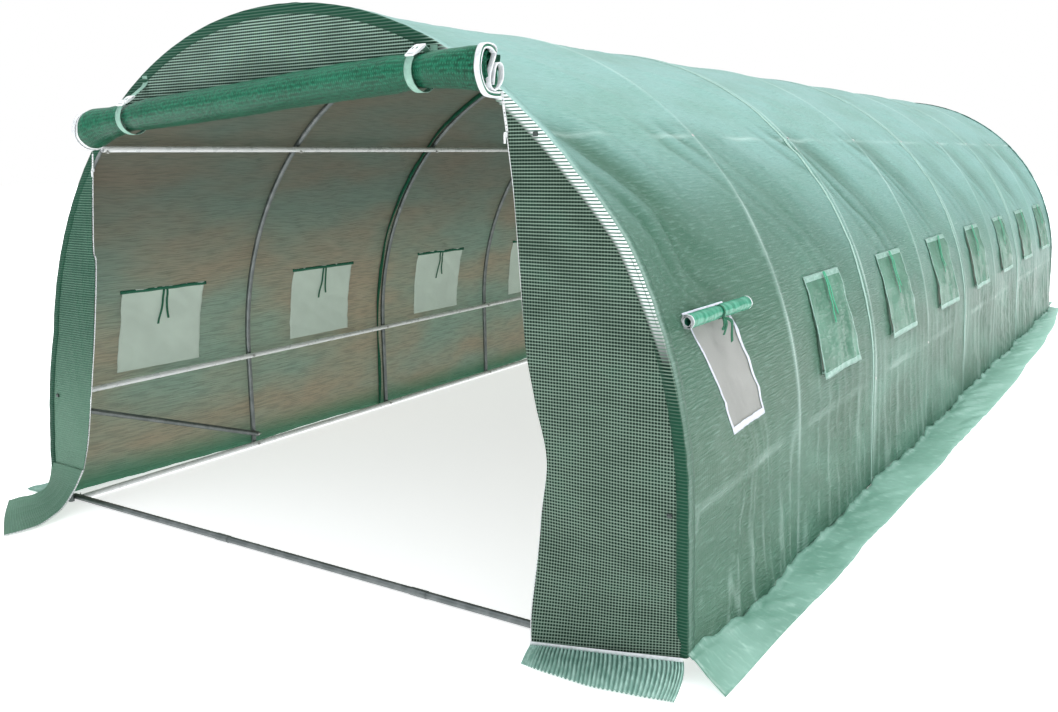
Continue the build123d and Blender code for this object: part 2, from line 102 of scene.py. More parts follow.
# ---------------------------------------------------------------- shape of the cover


def unit(value):
    """The value, held between 0 and 1."""
    return np.clip(value, 0, 1)


def bell(value, width):
    """1 at zero, falling softly to nothing about two widths away."""
    return np.exp(-((value / width) ** 2))


def stack(*parts):
    """Coordinates side by side, broadcast to one shape."""
    return np.stack(np.broadcast_arrays(*parts), axis=-1)


def arch(s, out):
    """Across and up of a point of the cover: s runs from the right foot over the top to the left foot."""
    turn = np.clip((s - LEG) / COVER_R, 0, math.pi)
    up = LEG + (COVER_R + out) * np.sin(turn)
    return (COVER_R + out) * np.cos(turn), up - np.maximum(LEG - s, 0) - np.maximum(s - (GIRTH - LEG), 0)


def place_of(side, height):
    """Place along the cover's girth at a height, on the side 1 (right) or -1 (left)."""
    along = height if height < LEG else LEG + COVER_R * math.asin((height - LEG) / COVER_R)
    return along if side > 0 else GIRTH - along


def bumps(u, v, seed, waves=8):
    """Smooth random bumps, about 1 apart and from -1 to 1, the same on every run."""
    draw = np.random.default_rng(seed)
    total = np.zeros(np.broadcast(u, v).shape)
    for _ in range(waves):
        angle, _, phase = draw.uniform(0, 2 * math.pi, 3)
        rate = draw.uniform(3, 8)
        total = total + np.sin(rate * (u * math.cos(angle) + v * math.sin(angle)) + phase)
    return np.clip(total / math.sqrt(waves * 2), -1, 1)


def creases(u, v, seed):
    """Sharp ridges with soft valleys, from 0 to 1."""
    return (1 - np.abs(bumps(u, v, seed))) ** 2


# Places where a foot, a rail, a purlin or the ridge pole holds the cover
SUPPORTS = [0, MID_RAIL_Z] + [LEG + COVER_R * math.radians(angle) for angle in (45, 90, 135)]
SUPPORTS += [GIRTH - MID_RAIL_Z, GIRTH]

# How far the cover and the front wall stray outward at the open end, by height, on each side
RIGHT_FLARE = [0, 1.22, 1.42, 1.6], [0.040, 0.038, 0.010, 0]
LEFT_FLARE = [0, 0.22, 0.45, 0.59, 0.75], [0.088, 0.083, 0.055, 0.029, 0]

# The front right window is pulled forward and askew: how far its corners move along the tunnel
PULL = {"middle": -0.080, "width": -0.055, "height": -0.085, "twist": 0.012}

CORNER_LIFT = 0.066                         # the front right corner's foot is drawn up off the ground
CORNER_REACH = 0.35                         # height over which that shows
DOOR_KICK = 0.060                           # how far the right panel's foot stands forward beside the door

FOLD_SLOPE = 0.95                           # how steeply the folds on the shoulders run down the tunnel
FOLD_START = 1.13                           # how far below the ridge a fold starts at its hoop


def flare(y, s):
    """How far the loose cloth strays outward near the open end at a place."""
    height = arch(s, 0)[1]
    stray = np.where(s < GIRTH / 2, np.interp(height, *RIGHT_FLARE), np.interp(height, *LEFT_FLARE))
    return stray * bell(y - FRONT_Y, 0.6)


def pulled(y, s):
    """Place along the tunnel of a point of the cover, after the pull on the front right window."""
    low, high = window_places("right")
    u = (y - WINDOW_YS[0]) / (WINDOW_WIDTH / 2)
    v = (s - (low + high) / 2) / ((high - low) / 2)
    near = np.exp(-((u / 1.9) ** 4) - (v / 2.6) ** 4)
    u, v = np.clip(u, -1.6, 1.6), np.clip(v, -1.6, 1.6)
    return y + near * (PULL["middle"] + PULL["width"] * u + PULL["height"] * v + PULL["twist"] * u * v)


def foot_lift(y, s, up):
    """How far the cloth is drawn up near the front right corner's foot."""
    return CORNER_LIFT * bell(y - FRONT_Y, 0.45) * (s < GIRTH / 2) * unit(1 - up / CORNER_REACH)


def door_kick(z):
    """How far the right panel stands forward at its door edge, at a height."""
    return DOOR_KICK * unit(1 - z / CORNER_REACH) ** 1.3


def slack(y):
    """0 at a hoop and 1 half way between two."""
    bay = ((y - HOOP_YS[0]) / PITCH) % 1
    return (4 * bay * (1 - bay)) ** 0.6


def diagonal(y, s):
    """Folds that run down the shoulders from each hoop: how deep a valley is, from 0 to 1."""
    from_ridge = np.abs(s - GIRTH / 2)
    side = np.sign(GIRTH / 2 - s)
    line = from_ridge - FOLD_SLOPE * (y - HOOP_YS[0]) - FOLD_START + 0.03 * bumps(y / 0.8, s / 0.8, 11)
    step = line / (FOLD_SLOPE * PITCH) + 0.05 * side
    step = step - np.round(step)
    fine = line / 0.16 + 0.22 * bumps(y / 0.5, s / 0.7, 13)
    streak = bell(fine - np.round(fine), 0.24) * bell(step - 0.10, 0.30)
    near = np.maximum(bell(step, 0.16) * (0.75 + 0.25 * bumps(fine, y, 14)), streak)
    reach = unit((from_ridge - 1.06) / 0.12) * unit((2.15 - from_ridge) / 0.5)
    strength = unit(0.85 + 0.4 * bumps(y / 0.9 + side, s / 1.2, 12))
    return near * reach * strength * np.interp(y, [-3, 0.5], [1, 0.6])


def cover_out(y, s):
    """How far the cover stands out from the hoops' line at a place."""
    y, s = np.broadcast_arrays(y, s)
    loose = slack(y)
    from_ridge = np.abs(s - GIRTH / 2)
    side = np.sign(GIRTH / 2 - s)
    between = np.abs(np.sin(math.pi * np.interp(s, SUPPORTS, range(len(SUPPORTS)))))
    wall = unit(1 - (GIRTH / 2 - from_ridge) / MID_RAIL_Z)
    out = -SAG * loose * (0.55 + 0.45 * between) * (1 - wall)
    swell = (0.55 + 0.3 * bumps(y / 1.3, side, 5)) * np.interp(y, [-4, -2.5], [0.35, 1])
    out += FOOT_BULGE * loose * wall**1.5 * swell
    across = from_ridge - 0.42 * y + 0.08 * bumps(y / 0.9, s / 0.9, 11)
    along = y + 0.42 * from_ridge
    shoulder = unit((from_ridge - 0.35) / 0.4) * unit((2.35 - from_ridge) / 0.5)
    out += 0.010 * loose * shoulder * (creases(across / 0.55, along / 3.2 + side, 21) - 0.5)
    out += 0.005 * loose * (creases(across / 0.22, along / 1.1 + side, 22) - 0.4)
    upright = creases(y / 0.16 + side, from_ridge / 1.5, 23) - 0.35
    out += 0.007 * unit((from_ridge - 1.95) / 0.6) * upright * np.minimum(loose * 2, 1)
    out += 0.0016 * bumps(y / 0.16, s / 0.07, 24) * loose
    return out - 0.016 * diagonal(y, s) * np.minimum(1.4 * loose, 1) + flare(y, s)


def cover_point(y, s, lift=0.0):
    """Points on the cover, lifted off it by some distance."""
    across, up = arch(s, cover_out(y, s) + lift)
    return stack(across, pulled(y, s), up + foot_lift(y, s, up))


# ---------------------------------------------------------------- meshes


def steps(breaks, size=CELL):
    """Values through all the breaks, no further apart than size."""
    values = []
    for low, high in zip(breaks, breaks[1:]):
        values += np.linspace(low, high, max(1, math.ceil(abs(high - low) / size)), endpoint=False).tolist()
    return np.array(values + [breaks[-1]])


def middles(values):
    """Half way between neighbouring values."""
    return (values[:-1] + values[1:]) / 2


def curve_through(points, count):
    """Evenly spread points on a smooth curve through the given ones."""
    knots = np.array([points[0], *points, points[-1]], float)
    spots = np.linspace(0, len(points) - 1, count)
    part = np.minimum(spots.astype(int), len(points) - 2)
    t = (spots - part)[:, None]
    a, b, c, d = (knots[part + shift] for shift in range(4))
    return 0.5 * (2 * b + (c - a) * t + (2 * a - 5 * b + 4 * c - d) * t**2 + (3 * b - a - 3 * c + d) * t**3)


def path_length(points):
    """Distance along a path, from its start to each point."""
    return np.concatenate([[0], np.cumsum(np.linalg.norm(np.diff(points, axis=0), axis=1))])


def area_between(first, second, places):
    """Area between two edges given at the same places."""
    return float(np.trapz(np.abs(second - first), places))


def add_object(name, data):
    made = bpy.data.objects.new(name, data)
    bpy.context.scene.collection.objects.link(made)
    return made


def make_mesh(name, points, faces, materials, flat, marks=None, paint=None):
    """A smooth mesh object with a flat cloth coordinate and other painted values on its points."""
    mesh = bpy.data.meshes.new(name)
    mesh.from_pydata(np.asarray(points).tolist(), [], np.asarray(faces).tolist())
    for material in materials:
        mesh.materials.append(material)
    mesh.attributes.new("flat", "FLOAT_VECTOR", "POINT").data.foreach_set("vector", np.ravel(flat))
    for mark, values in (marks or {}).items():
        mesh.attributes.new(mark, "FLOAT", "POINT").data.foreach_set("value", np.ravel(values))
    if paint is not None:
        mesh.polygons.foreach_set("material_index", np.ravel(paint).astype(int))
    mesh.polygons.foreach_set("use_smooth", np.ones(len(mesh.polygons), bool))
    mesh.update()
    return add_object(name, mesh)


def sheet(name, points, flat, outside, inside=None, keep=None, paint=None, marks=None, thickness=FILM):
    """A sheet on a grid of points, rows first. keep picks the cells that are cloth, paint their materials.
    Its thickness goes inward, and the inner side takes the inside materials."""
    rows, columns = points.shape[:2]
    number = np.arange(rows * columns).reshape(rows, columns)
    quads = np.stack([number[:-1, :-1], number[:-1, 1:], number[1:, 1:], number[1:, :-1]], axis=-1)
    cells = np.ones(quads.shape[:2], bool) if keep is None else keep
    used, faces = np.unique(quads[cells], return_inverse=True)
    flat = stack(flat[..., 0], flat[..., 1], 0.0).reshape(-1, 3)[used]
    painted = {}
    for mark, values in (marks or {}).items():
        painted[mark] = np.broadcast_to(values, (rows, columns)).ravel()[used]
    made = make_mesh(
        name, points.reshape(-1, 3)[used], faces.reshape(-1, 4), [*outside, *(inside or outside)],
        flat, painted, None if paint is None else np.broadcast_to(paint, quads.shape[:2])[cells],
    )
    solid = made.modifiers.new("thickness", "SOLIDIFY")
    solid.thickness, solid.offset = thickness, -1.0
    solid.material_offset = len(outside)
    solid.use_even_offset = False
    return made


def ribbon(name, path, across, width, material, thickness=0.0012, columns=3):
    """A flat strip along a path. across is the direction of its width, at each point or for all."""
    path = np.asarray(path, float)
    across = np.broadcast_to(np.asarray(across, float), path.shape)
    across = across / np.linalg.norm(across, axis=1, keepdims=True)
    spread = np.linspace(-width / 2, width / 2, columns)
    points = path[:, None, :] + across[:, None, :] * spread[None, :, None]
    flat = stack(path_length(path)[:, None], spread[None, :])
    return sheet(name, points, flat, [material], thickness=thickness)


def join(name, pieces):
    """Several mesh objects as one, with their modifiers applied."""
    graph = bpy.context.evaluated_depsgraph_get()
    whole = bmesh.new()
    materials = []
    for piece in pieces:
        mesh = bpy.data.meshes.new_from_object(piece.evaluated_get(graph))
        mesh.transform(piece.matrix_world)
        materials += [material for material in dict.fromkeys(mesh.materials) if material not in materials]
        shift = [materials.index(material) for material in mesh.materials]
        for face in mesh.polygons:
            face.material_index = shift[face.material_index]
        whole.from_mesh(mesh)
    for piece in pieces:
        bpy.data.objects.remove(piece)
    mesh = bpy.data.meshes.new(name)
    whole.to_mesh(mesh)
    for material in materials:
        mesh.materials.append(material)
    return add_object(name, mesh)


def block(size, place, material, round_by, turn=None):
    """A box with rounded edges, turned by a matrix."""
    shape = bmesh.new()
    bmesh.ops.create_cube(shape, size=1)
    bmesh.ops.scale(shape, vec=size, verts=shape.verts)
    bmesh.ops.bevel(shape, geom=shape.edges[:], offset=round_by, segments=3, affect="EDGES", profile=0.5)
    if turn is not None:
        bmesh.ops.transform(shape, matrix=turn, verts=shape.verts)
    bmesh.ops.translate(shape, vec=place, verts=shape.verts)
    mesh = bpy.data.meshes.new("block")
    shape.to_mesh(mesh)
    mesh.materials.append(material)
    return add_object("block", mesh)


def finish_piece(piece, body, slot, *nodes):
    """Says what a piece rides on and which CAD nodes it stands for. Its slot, where its finish comes from, is
    not used.
    """
    if body is not None:
        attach(piece, body)
    if nodes:
        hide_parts(*nodes)
    return piece


# ---------------------------------------------------------------- materials


class Nodes:
    """The shader nodes of a material or the world. Each method adds a node and gives what comes out of it."""

    def __init__(self, owner):
        owner.use_nodes = True
        owner.node_tree.nodes.clear()
        self.owner, self.tree, self.vector = owner, owner.node_tree, None

    def add(self, kind, inputs=(), **settings):
        """Any node. An input is a number, a vector, a colour of three parts or another node's output."""
        made = self.tree.nodes.new("ShaderNode" + kind)
        for name, value in settings.items():
            setattr(made, name, value)
        for name, value in dict(inputs).items():
            if isinstance(value, bpy.types.NodeSocket):
                self.tree.links.new(value, made.inputs[name])
            else:
                made.inputs[name].default_value = (*value, 1) if made.inputs[name].type == "RGBA" else value
        return made.outputs

    def mix(self, factor, first, second):
        return self.add("MixRGB", {"Fac": factor, "Color1": first, "Color2": second})[0]

    def math(self, operation, *values):
        return self.add("Math", dict(enumerate(values)), operation=operation)[0]

    def times(self, first, second):
        return self.math("MULTIPLY", first, second)

    def remap(self, value, low, high, to_low=0.0, to_high=1.0):
        inputs = {"Value": value, "From Min": low, "From Max": high, "To Min": to_low, "To Max": to_high}
        return self.add("MapRange", inputs, interpolation_type="SMOOTHSTEP")[0]

    def noise(self, stretch, detail=2.0):
        """Noise on the surface's coordinate stretched by three factors, about from 0.3 to 0.7."""
        mapped = self.add("Mapping", {"Vector": self.vector, "Scale": stretch})[0]
        return self.add("TexNoise", {"Vector": mapped, "Scale": 1.0, "Detail": detail})[0]

    def painted(self, name):
        """A value painted on the mesh's points."""
        return self.add("Attribute", attribute_name=name)["Fac"]

    def lines(self, coordinate, pitch, width):
        """1 on evenly spaced lines of a coordinate and 0 between them."""
        return self.remap(self.math("PINGPONG", coordinate, pitch / 2), width / 4, width / 2, 1, 0)

    def bump(self, height, distance, strength=1.0):
        return self.add("Bump", {"Height": height, "Distance": distance, "Strength": strength})[0]

    def surface(self, shader):
        """Ends the nodes with the surface's shader and gives the material."""
        self.add("OutputMaterial", {"Surface": shader})
        return self.owner

    def solid(self, inputs):
        """An opaque surface."""
        return self.surface(self.add("BsdfPrincipled", inputs)[0])

    def film(self, colour, normal, roughness, glow, glow_colour, clear=0.0, painted_glow=0.0, gloss=0.5):
        """Plastic film: a glossy face that also lets light through, and may glow with painted light."""
        face = self.add("BsdfPrincipled", {
            "Base Color": colour, "Roughness": roughness, "Normal": normal, "Specular IOR Level": gloss,
            "Emission Color": glow_colour, "Emission Strength": painted_glow,
        })[0]
        lit = self.add("BsdfTranslucent", {"Color": glow_colour, "Normal": normal})[0]
        shader = self.add("MixShader", {0: glow, 1: face, 2: lit})[0]
        if clear:
            shader = self.add("MixShader", {0: clear, 1: shader, 2: self.add("BsdfTransparent")[0]})[0]
        return self.surface(shader)


def cloth_paint(name):
    """Nodes of a new cloth material, with the cloth's flat coordinate in metres as two numbers."""
    paint = Nodes(bpy.data.materials.new(name))
    paint.vector = paint.add("Attribute", attribute_name="flat")["Vector"]
    first, second, _ = paint.add("SeparateXYZ", {"Vector": paint.vector})
    return paint, first, second


def solid_paint(name):
    """Nodes of a new material for a solid thing, with its place in metres."""
    paint = Nodes(bpy.data.materials.new(name))
    paint.vector = paint.add("TexCoord")["Object"]
    return paint


def scaled(colour, by):
    """A colour made darker or lighter."""
    return tuple(min(1, part * by) for part in colour)


def cover_outside():
    """Woven film: grey-green on the walls, paler towards the roof as a painted sky reflection, with painted
    shade near the front and in the fold valleys, and a painted highlight where it lies on a tube.
    """
    paint, along, girth = cloth_paint("cover_film_outside")
    deep = (0.050, 0.125, 0.080)
    crinkle = paint.noise((20, 130, 1), 3.0)
    broad = paint.noise((1.6, 3.5, 1), 3.0)
    up = paint.painted("height")
    # painted sky reflection: the film is paler higher up and further along the tunnel
    height = paint.remap(paint.math("MULTIPLY_ADD", along, 0.085, up), 0.48, 1.56)
    colour = paint.mix(height, (0.052, 0.125, 0.084), (0.262, 0.49, 0.45))
    colour = paint.mix(paint.remap(broad, 0.35, 0.75, 0, 0.45), colour, (0.15, 0.33, 0.25))
    shaded = paint.times(paint.remap(up, 1.45, 0.95, 0, 0.62), paint.remap(along, -4.05, -2.7, 1, 0))
    colour = paint.mix(shaded, colour, deep)
    # painted shade on the front walls between knee and shoulder height
    front_shade = paint.times(paint.remap(up, 1.55, 1.20, 0, 0.58), paint.remap(up, 0.28, 0.52))
    colour = paint.mix(paint.times(front_shade, paint.remap(along, -3.2, -1.9, 1, 0)), colour, deep)
    # painted shade in the valleys of the folds on the shoulders
    colour = paint.mix(paint.times(paint.painted("valley"), 0.92), colour, (0.035, 0.115, 0.07))
    colour = paint.mix(paint.remap(crinkle, 0.50, 0.72, 0, 0.18), colour, (0.40, 0.62, 0.54))
    colour = paint.mix(paint.remap(crinkle, 0.50, 0.30, 0, 0.18), colour, (0.04, 0.14, 0.09))
    # painted highlight along the lines where the film lies on a tube
    colour = paint.mix(paint.painted("touch_highlight"), colour, (0.72, 0.92, 0.85))
    hem = paint.times(paint.remap(up, 0.03, 0.06, 1, 0), paint.lines(girth, 0.014, 0.007))
    colour = paint.mix(paint.times(hem, 0.6), colour, (0.03, 0.13, 0.085))
    weave = paint.math("MAXIMUM", paint.lines(along, THREAD, 0.004), paint.lines(girth, THREAD, 0.004))
    relief = paint.math("MULTIPLY_ADD", weave, 0.10, crinkle)
    return paint.film(colour, paint.bump(relief, 0.005, 0.9), 0.30, 0.12, (0.45, 0.66, 0.54), gloss=0.2)


def cover_inside():
    """The same film from inside, where daylight comes through it brown and grey-green, partly as a painted
    glow, with painted shade towards the top.
    """
    paint, _, girth = cloth_paint("cover_film_inside")
    tint = paint.remap(paint.noise((1.1, 2.6, 1), 3.0), 0.30, 0.70)
    ripple = paint.noise((9, 110, 1))
    up = paint.painted("height")
    colour = paint.mix(tint, (0.34, 0.28, 0.20), (0.24, 0.33, 0.27))
    glow = paint.mix(tint, (0.72, 0.58, 0.43), (0.50, 0.66, 0.54))
    # painted shade towards the top of the inside (high)
    high, low = paint.remap(up, 0.6, 1.5, 0, 0.62), paint.remap(up, 0, 0.16, 0.85, 0)
    dark = paint.remap(ripple, 0.56, 0.38, 0, 0.24)
    shades = (high, (0.04, 0.05, 0.045)), (dark, (0.08, 0.10, 0.085)), (low, (0.05, 0.30, 0.17))
    for shade, target in shades:
        colour, glow = paint.mix(shade, colour, target), paint.mix(shade, glow, target)
    relief = paint.math("MULTIPLY_ADD", paint.lines(girth, THREAD, 0.004), 0.2, ripple)
    # the inside also glows with painted daylight through its emission
    return paint.film(colour, paint.bump(relief, 0.006, 0.9), 0.33, 0.55, glow, painted_glow=0.38)


def end_film(name, dark, light, paler_low=0.0):
    """Dark film with a light grid of threads, paler towards the top as a painted highlight and perhaps paler
    low down. Where "edge" is painted it takes a white painted highlight, where "edge" is negative a dark
    painted shade.
    """
    paint, across, up = cloth_paint(name)
    level = paint.times(paint.lines(up, THREAD, 0.0050), 0.75)
    upright = paint.times(paint.lines(across, THREAD, 0.0044), paint.remap(up, 0.5, 1.4, 0.95, 0.30))
    patch = paint.noise((5, 11, 1), 4.0)
    both = paint.math("MULTIPLY_ADD", upright, 0.60, level)
    threads = paint.times(both, paint.remap(patch, 0.3, 0.7, 0.75, 1.1))
    # painted highlight: the threads turn paler towards the top of the arch
    pale = paint.mix(paint.remap(up, 1.5, 1.75), light, (0.50, 0.72, 0.60))
    colour = paint.mix(threads, dark, pale)
    colour = paint.mix(paint.remap(up, 0.9, 0.15, 0, paler_low), colour, (0.19, 0.345, 0.25))
    colour = paint.mix(paint.remap(patch, 0.5, 0.8, 0, 0.15), colour, (0.035, 0.15, 0.09))
    white = paint.mix(paint.lines(up, THREAD, 0.0045), (0.92, 0.97, 0.95), (0.03, 0.14, 0.09))
    edge = paint.painted("edge")
    # painted highlight where edge is positive, painted shade where it is negative
    colour = paint.mix(edge, colour, white)
    colour = paint.mix(paint.times(edge, -1.0), colour, (0.012, 0.078, 0.044))
    return paint.film(colour, paint.bump(threads, 0.002), 0.5, 0.03, (0.25, 0.45, 0.34), gloss=0.08)


def roll_film():
    """The door's deep green film with fine crinkles round the roll, and painted shade on the roll's underside.
    """
    paint, along, turned = cloth_paint("door_film_rolled")
    crinkle = paint.noise((70, 160, 1), 5.0)
    broad = paint.noise((4, 9, 1))
    colour = paint.mix(paint.remap(crinkle, 0.35, 0.7), (0.002, 0.058, 0.028), (0.008, 0.155, 0.082))
    colour = paint.mix(paint.remap(broad, 0.4, 0.7, 0, 0.25), colour, (0.02, 0.22, 0.12))
    weave = paint.times(paint.lines(along, 0.0085, 0.0045), paint.lines(turned, 0.0085, 0.0045))
    colour = paint.mix(paint.times(weave, 0.5), colour, (0.04, 0.30, 0.17))
    # painted shade on the underside of the roll
    colour = paint.mix(paint.times(paint.painted("under"), 0.75), colour, (0.001, 0.022, 0.010))
    relief = paint.math("MULTIPLY_ADD", weave, 0.3, crinkle)
    return paint.film(colour, paint.bump(relief, 0.003, 0.9), 0.36, 0.01, (0.05, 0.5, 0.3), gloss=0.25)


def tape(name, colour, ticks=0.0):
    """Woven tape with fine ribs, with dark ticks where it holds a zip."""
    paint, along, across = cloth_paint(name)
    worn = paint.remap(paint.noise((60, 60, 60), 3.0), 0.35, 0.75, 0, 0.6)
    tint = paint.mix(worn, colour, scaled(colour, 0.72))
    if ticks:
        middle = paint.remap(paint.math("ABSOLUTE", across), 0.0014, 0.002, 1, 0)
        tint = paint.mix(paint.times(middle, paint.lines(along, 0.012, ticks)), tint, (0.01, 0.05, 0.03))
    ribs = paint.bump(paint.lines(along, 0.0022, 0.0012), 0.0004)
    return paint.solid({"Base Color": tint, "Roughness": 0.62, "Normal": ribs})


def net(name, tint, painted_glow=0.0):
    """Fine insect net: its colour, and how brightly it glows with painted daylight."""
    paint, along, girth = cloth_paint(name)
    cloud = paint.noise((6, 6, 1), 3.0)
    threads = paint.math("MAXIMUM", *(paint.lines(way, 0.0028, 0.0013) for way in (along, girth)))
    colour = paint.mix(paint.remap(cloud, 0.35, 0.7), scaled(tint, 0.82), tint)
    colour = paint.mix(paint.times(threads, 0.25), colour, (0.80, 0.80, 0.81))
    return paint.film(colour, paint.bump(threads, 0.0004), 0.6, 0.40, scaled(tint, 1.4), 0.08, painted_glow)


def flap_film():
    """Clear green film with fine horizontal crinkles."""
    paint, _, _ = cloth_paint("flap_film")
    crinkle = paint.noise((26, 80, 1), 4.0)
    broad = paint.noise((6, 4, 1), 3.0)
    colour = paint.mix(paint.remap(broad, 0.35, 0.7), (0.085, 0.225, 0.15), (0.145, 0.335, 0.24))
    colour = paint.mix(paint.remap(crinkle, 0.5, 0.8, 0, 0.3), colour, (0.42, 0.64, 0.54))
    normal = paint.bump(crinkle, 0.004, 0.8)
    return paint.film(colour, normal, 0.26, 0.22, (0.40, 0.62, 0.50), 0.12, gloss=0.3)


def layered_film(name, crinkles, dark, light, depth, roughness, glow, glow_colour, groove_shade=0.0):
    """Film in two or more layers, with fine crinkles, and with painted shade in the grooves where it is
    gathered.
    """
    paint, _, _ = cloth_paint(name)
    crinkle = paint.noise(crinkles, 3.0)
    colour = paint.mix(paint.remap(crinkle, 0.35, 0.7), dark, light)
    if groove_shade:
        # painted shade in the grooves between the pleats
        colour = paint.mix(paint.times(paint.painted("groove_shade"), groove_shade), colour, (0.012, 0.07, 0.05))
    return paint.film(colour, paint.bump(crinkle, depth), roughness, glow, glow_colour)


def skirt_film():
    """The ground skirts: green film, paler towards the outer edge."""
    paint, _, _ = cloth_paint("skirt_film")
    crinkle = paint.noise((45, 22, 1), 3.0)
    broad = paint.noise((3, 6, 1), 3.0)
    colour = paint.mix(paint.remap(broad, 0.35, 0.7), (0.132, 0.285, 0.218), (0.215, 0.395, 0.322))
    colour = paint.mix(paint.times(paint.painted("pale"), 0.5), colour, (0.38, 0.66, 0.55))
    colour = paint.mix(paint.remap(crinkle, 0.5, 0.8, 0, 0.35), colour, (0.55, 0.80, 0.70))
    return paint.film(colour, paint.bump(crinkle, 0.003, 0.9), 0.32, 0.10, (0.4, 0.7, 0.55))


def metal(name, colour, dark, roughness, metallic=0.8):
    """Zinc-coated steel with cloudy patches."""
    paint = solid_paint(name)
    cloud = paint.noise((22, 22, 22), 4.0)
    tint = paint.mix(paint.remap(cloud, 0.35, 0.7), dark, colour)
    rough = paint.remap(cloud, 0.3, 0.7, roughness - 0.06, roughness + 0.08)
    return paint.solid({"Base Color": tint, "Metallic": metallic, "Roughness": rough})


def plastic(name, colour):
    """Moulded plastic with a fine skin."""
    paint = solid_paint(name)
    skin = paint.bump(paint.noise((900, 900, 900)), 0.0001)
    tint = paint.mix(paint.remap(paint.noise((40, 40, 40)), 0.35, 0.7), colour, scaled(colour, 0.82))
    return paint.solid({"Base Color": tint, "Roughness": 0.32, "Normal": skin})


def floor_paint():
    """The pale floor, which shines a little so that it stays nearly white."""
    paint = solid_paint("floor")
    tint = paint.mix(paint.noise((0.4, 0.4, 0.4)), (0.90, 0.90, 0.90), (0.94, 0.94, 0.94))
    return paint.solid({
        "Base Color": tint, "Roughness": 0.8, "Emission Color": (1, 1, 1), "Emission Strength": 0.62,
    })


COVER_OUT = cover_outside()
COVER_IN = cover_inside()
END_FILM = end_film("end_wall_film", (0.002, 0.016, 0.008), (0.27, 0.385, 0.305))
LEFT_FILM = end_film("left_wall_film", (0.010, 0.060, 0.037), (0.12, 0.24, 0.165), paler_low=0.7)
ROLL_FILM = roll_film()
WHITE_TAPE = tape("white_tape", (0.86, 0.88, 0.90))
ZIP_TAPE = tape("zip_tape", (0.88, 0.90, 0.90), 0.006)
BORDER = tape("window_border", (0.78, 0.80, 0.90))
PALE_BORDER = tape("pale_green_border", (0.36, 0.56, 0.48))
STRAP = tape("pale_strap", (0.30, 0.52, 0.42))
TIE = tape("green_tie", (0.012, 0.15, 0.075))
BRIGHT_TIE = tape("bright_green_tie", (0.04, 0.42, 0.22))
DARK_EDGE = tape("dark_green_hem", (0.012, 0.16, 0.085))
NET = net("insect_net", (0.41, 0.39, 0.385))
# the net's inner face glows with painted daylight
NET_INSIDE = net("insect_net_inside", (0.50, 0.60, 0.52), 0.45)
FLAP = flap_film()
FLAP_ROLL = layered_film("flap_film_rolled", (60, 20, 1), (0.03, 0.25, 0.15), (0.10, 0.42, 0.28),
                         0.002, 0.25, 0.15, (0.2, 0.7, 0.45))
FLAP_HEM = layered_film("flap_hem", (40, 60, 1), (0.24, 0.43, 0.355), (0.44, 0.63, 0.56),
                        0.002, 0.35, 0.25, (0.6, 0.8, 0.7))
PLEATS = layered_film("skirt_pleats", (60, 30, 1), (0.24, 0.43, 0.36), (0.42, 0.64, 0.56),
                      0.001, 0.36, 0.05, (0.4, 0.7, 0.55), 0.95)
SKIRT_FILM = skirt_film()
# one galvanised steel in two copies: darker as painted shade, near white as painted light
SHADED_TUBE = metal("galvanised_tube_shaded", (0.26, 0.28, 0.28), (0.17, 0.19, 0.19), 0.36)
LIT_TUBE = metal("galvanised_tube_lit", (0.97, 0.98, 0.98), (0.90, 0.92, 0.93), 0.30, 0.1)
ZINC = metal("zinc_fastener", (0.72, 0.72, 0.70), (0.5, 0.5, 0.48), 0.3)
DARK_ZINC = metal("dark_fastener", (0.10, 0.12, 0.11), (0.04, 0.05, 0.05), 0.4)
WHITE_PLASTIC = plastic("white_plastic", (0.88, 0.89, 0.90))


# ---------------------------------------------------------------- frame


def dress_frame():
    """Gives the kept CAD nodes their metal: galvanised steel darkened as painted shade on the hoops, braces and
    ground bars, near white as a painted highlight on the purlins, rails and ridge pole, and zinc on the bolts.
    """
    shaded_prefixes = "hoop_", "braces", "front_ground_bar", "rear_ground_bar"
    bright = "purlin_", "mid_rail_", "ground_rail_", "ridge_pole"
    tubes = (shaded_prefixes, SHADED_TUBE, "steel_tube"), (bright, LIT_TUBE, "steel_tube")
    for name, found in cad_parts.items():
        for starts, material, slot in (*tubes, ("frame_bolts", ZINC, "zinc_fastener")):
            if name.startswith(starts):
                found.data.materials.clear()
                found.data.materials.append(material)


# ---------------------------------------------------------------- cover


def window_places(name):
    """Girth places of the lower and the upper edge of a side's window openings."""
    return [place_of(SIDES[name], corner.z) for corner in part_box(f"window_screens_{name}")]


def cover_marks(y, s, up):
    """Painted values of the cover: a painted highlight where it touches a tube or is creased, its valleys,
    which take painted shade, and its height.
    """
    to_hoop = np.min(np.abs(y[..., None] - np.array(HOOP_YS)), axis=-1)
    touch_highlight = bell(to_hoop, 0.009) * (0.36 + 0.26 * bumps(s / 0.5, y, 31))
    for support in (SUPPORTS[1], SUPPORTS[2], SUPPORTS[4], SUPPORTS[5]):
        touch_highlight = np.maximum(touch_highlight, bell(s - support, 0.010) * (0.15 + 0.24 * bumps(y / 0.4, s, 32)))
    from_ridge, side = np.abs(s - GIRTH / 2), np.sign(GIRTH / 2 - s)
    fold = unit((creases(y / 0.16 + side, from_ridge / 1.5, 23) - 0.72) / 0.25)
    fold = fold * unit((from_ridge - 2.1) / 0.3)
    return {"touch_highlight": unit(np.maximum(touch_highlight, fold * 0.17)), "valley": diagonal(y, s), "height": up}


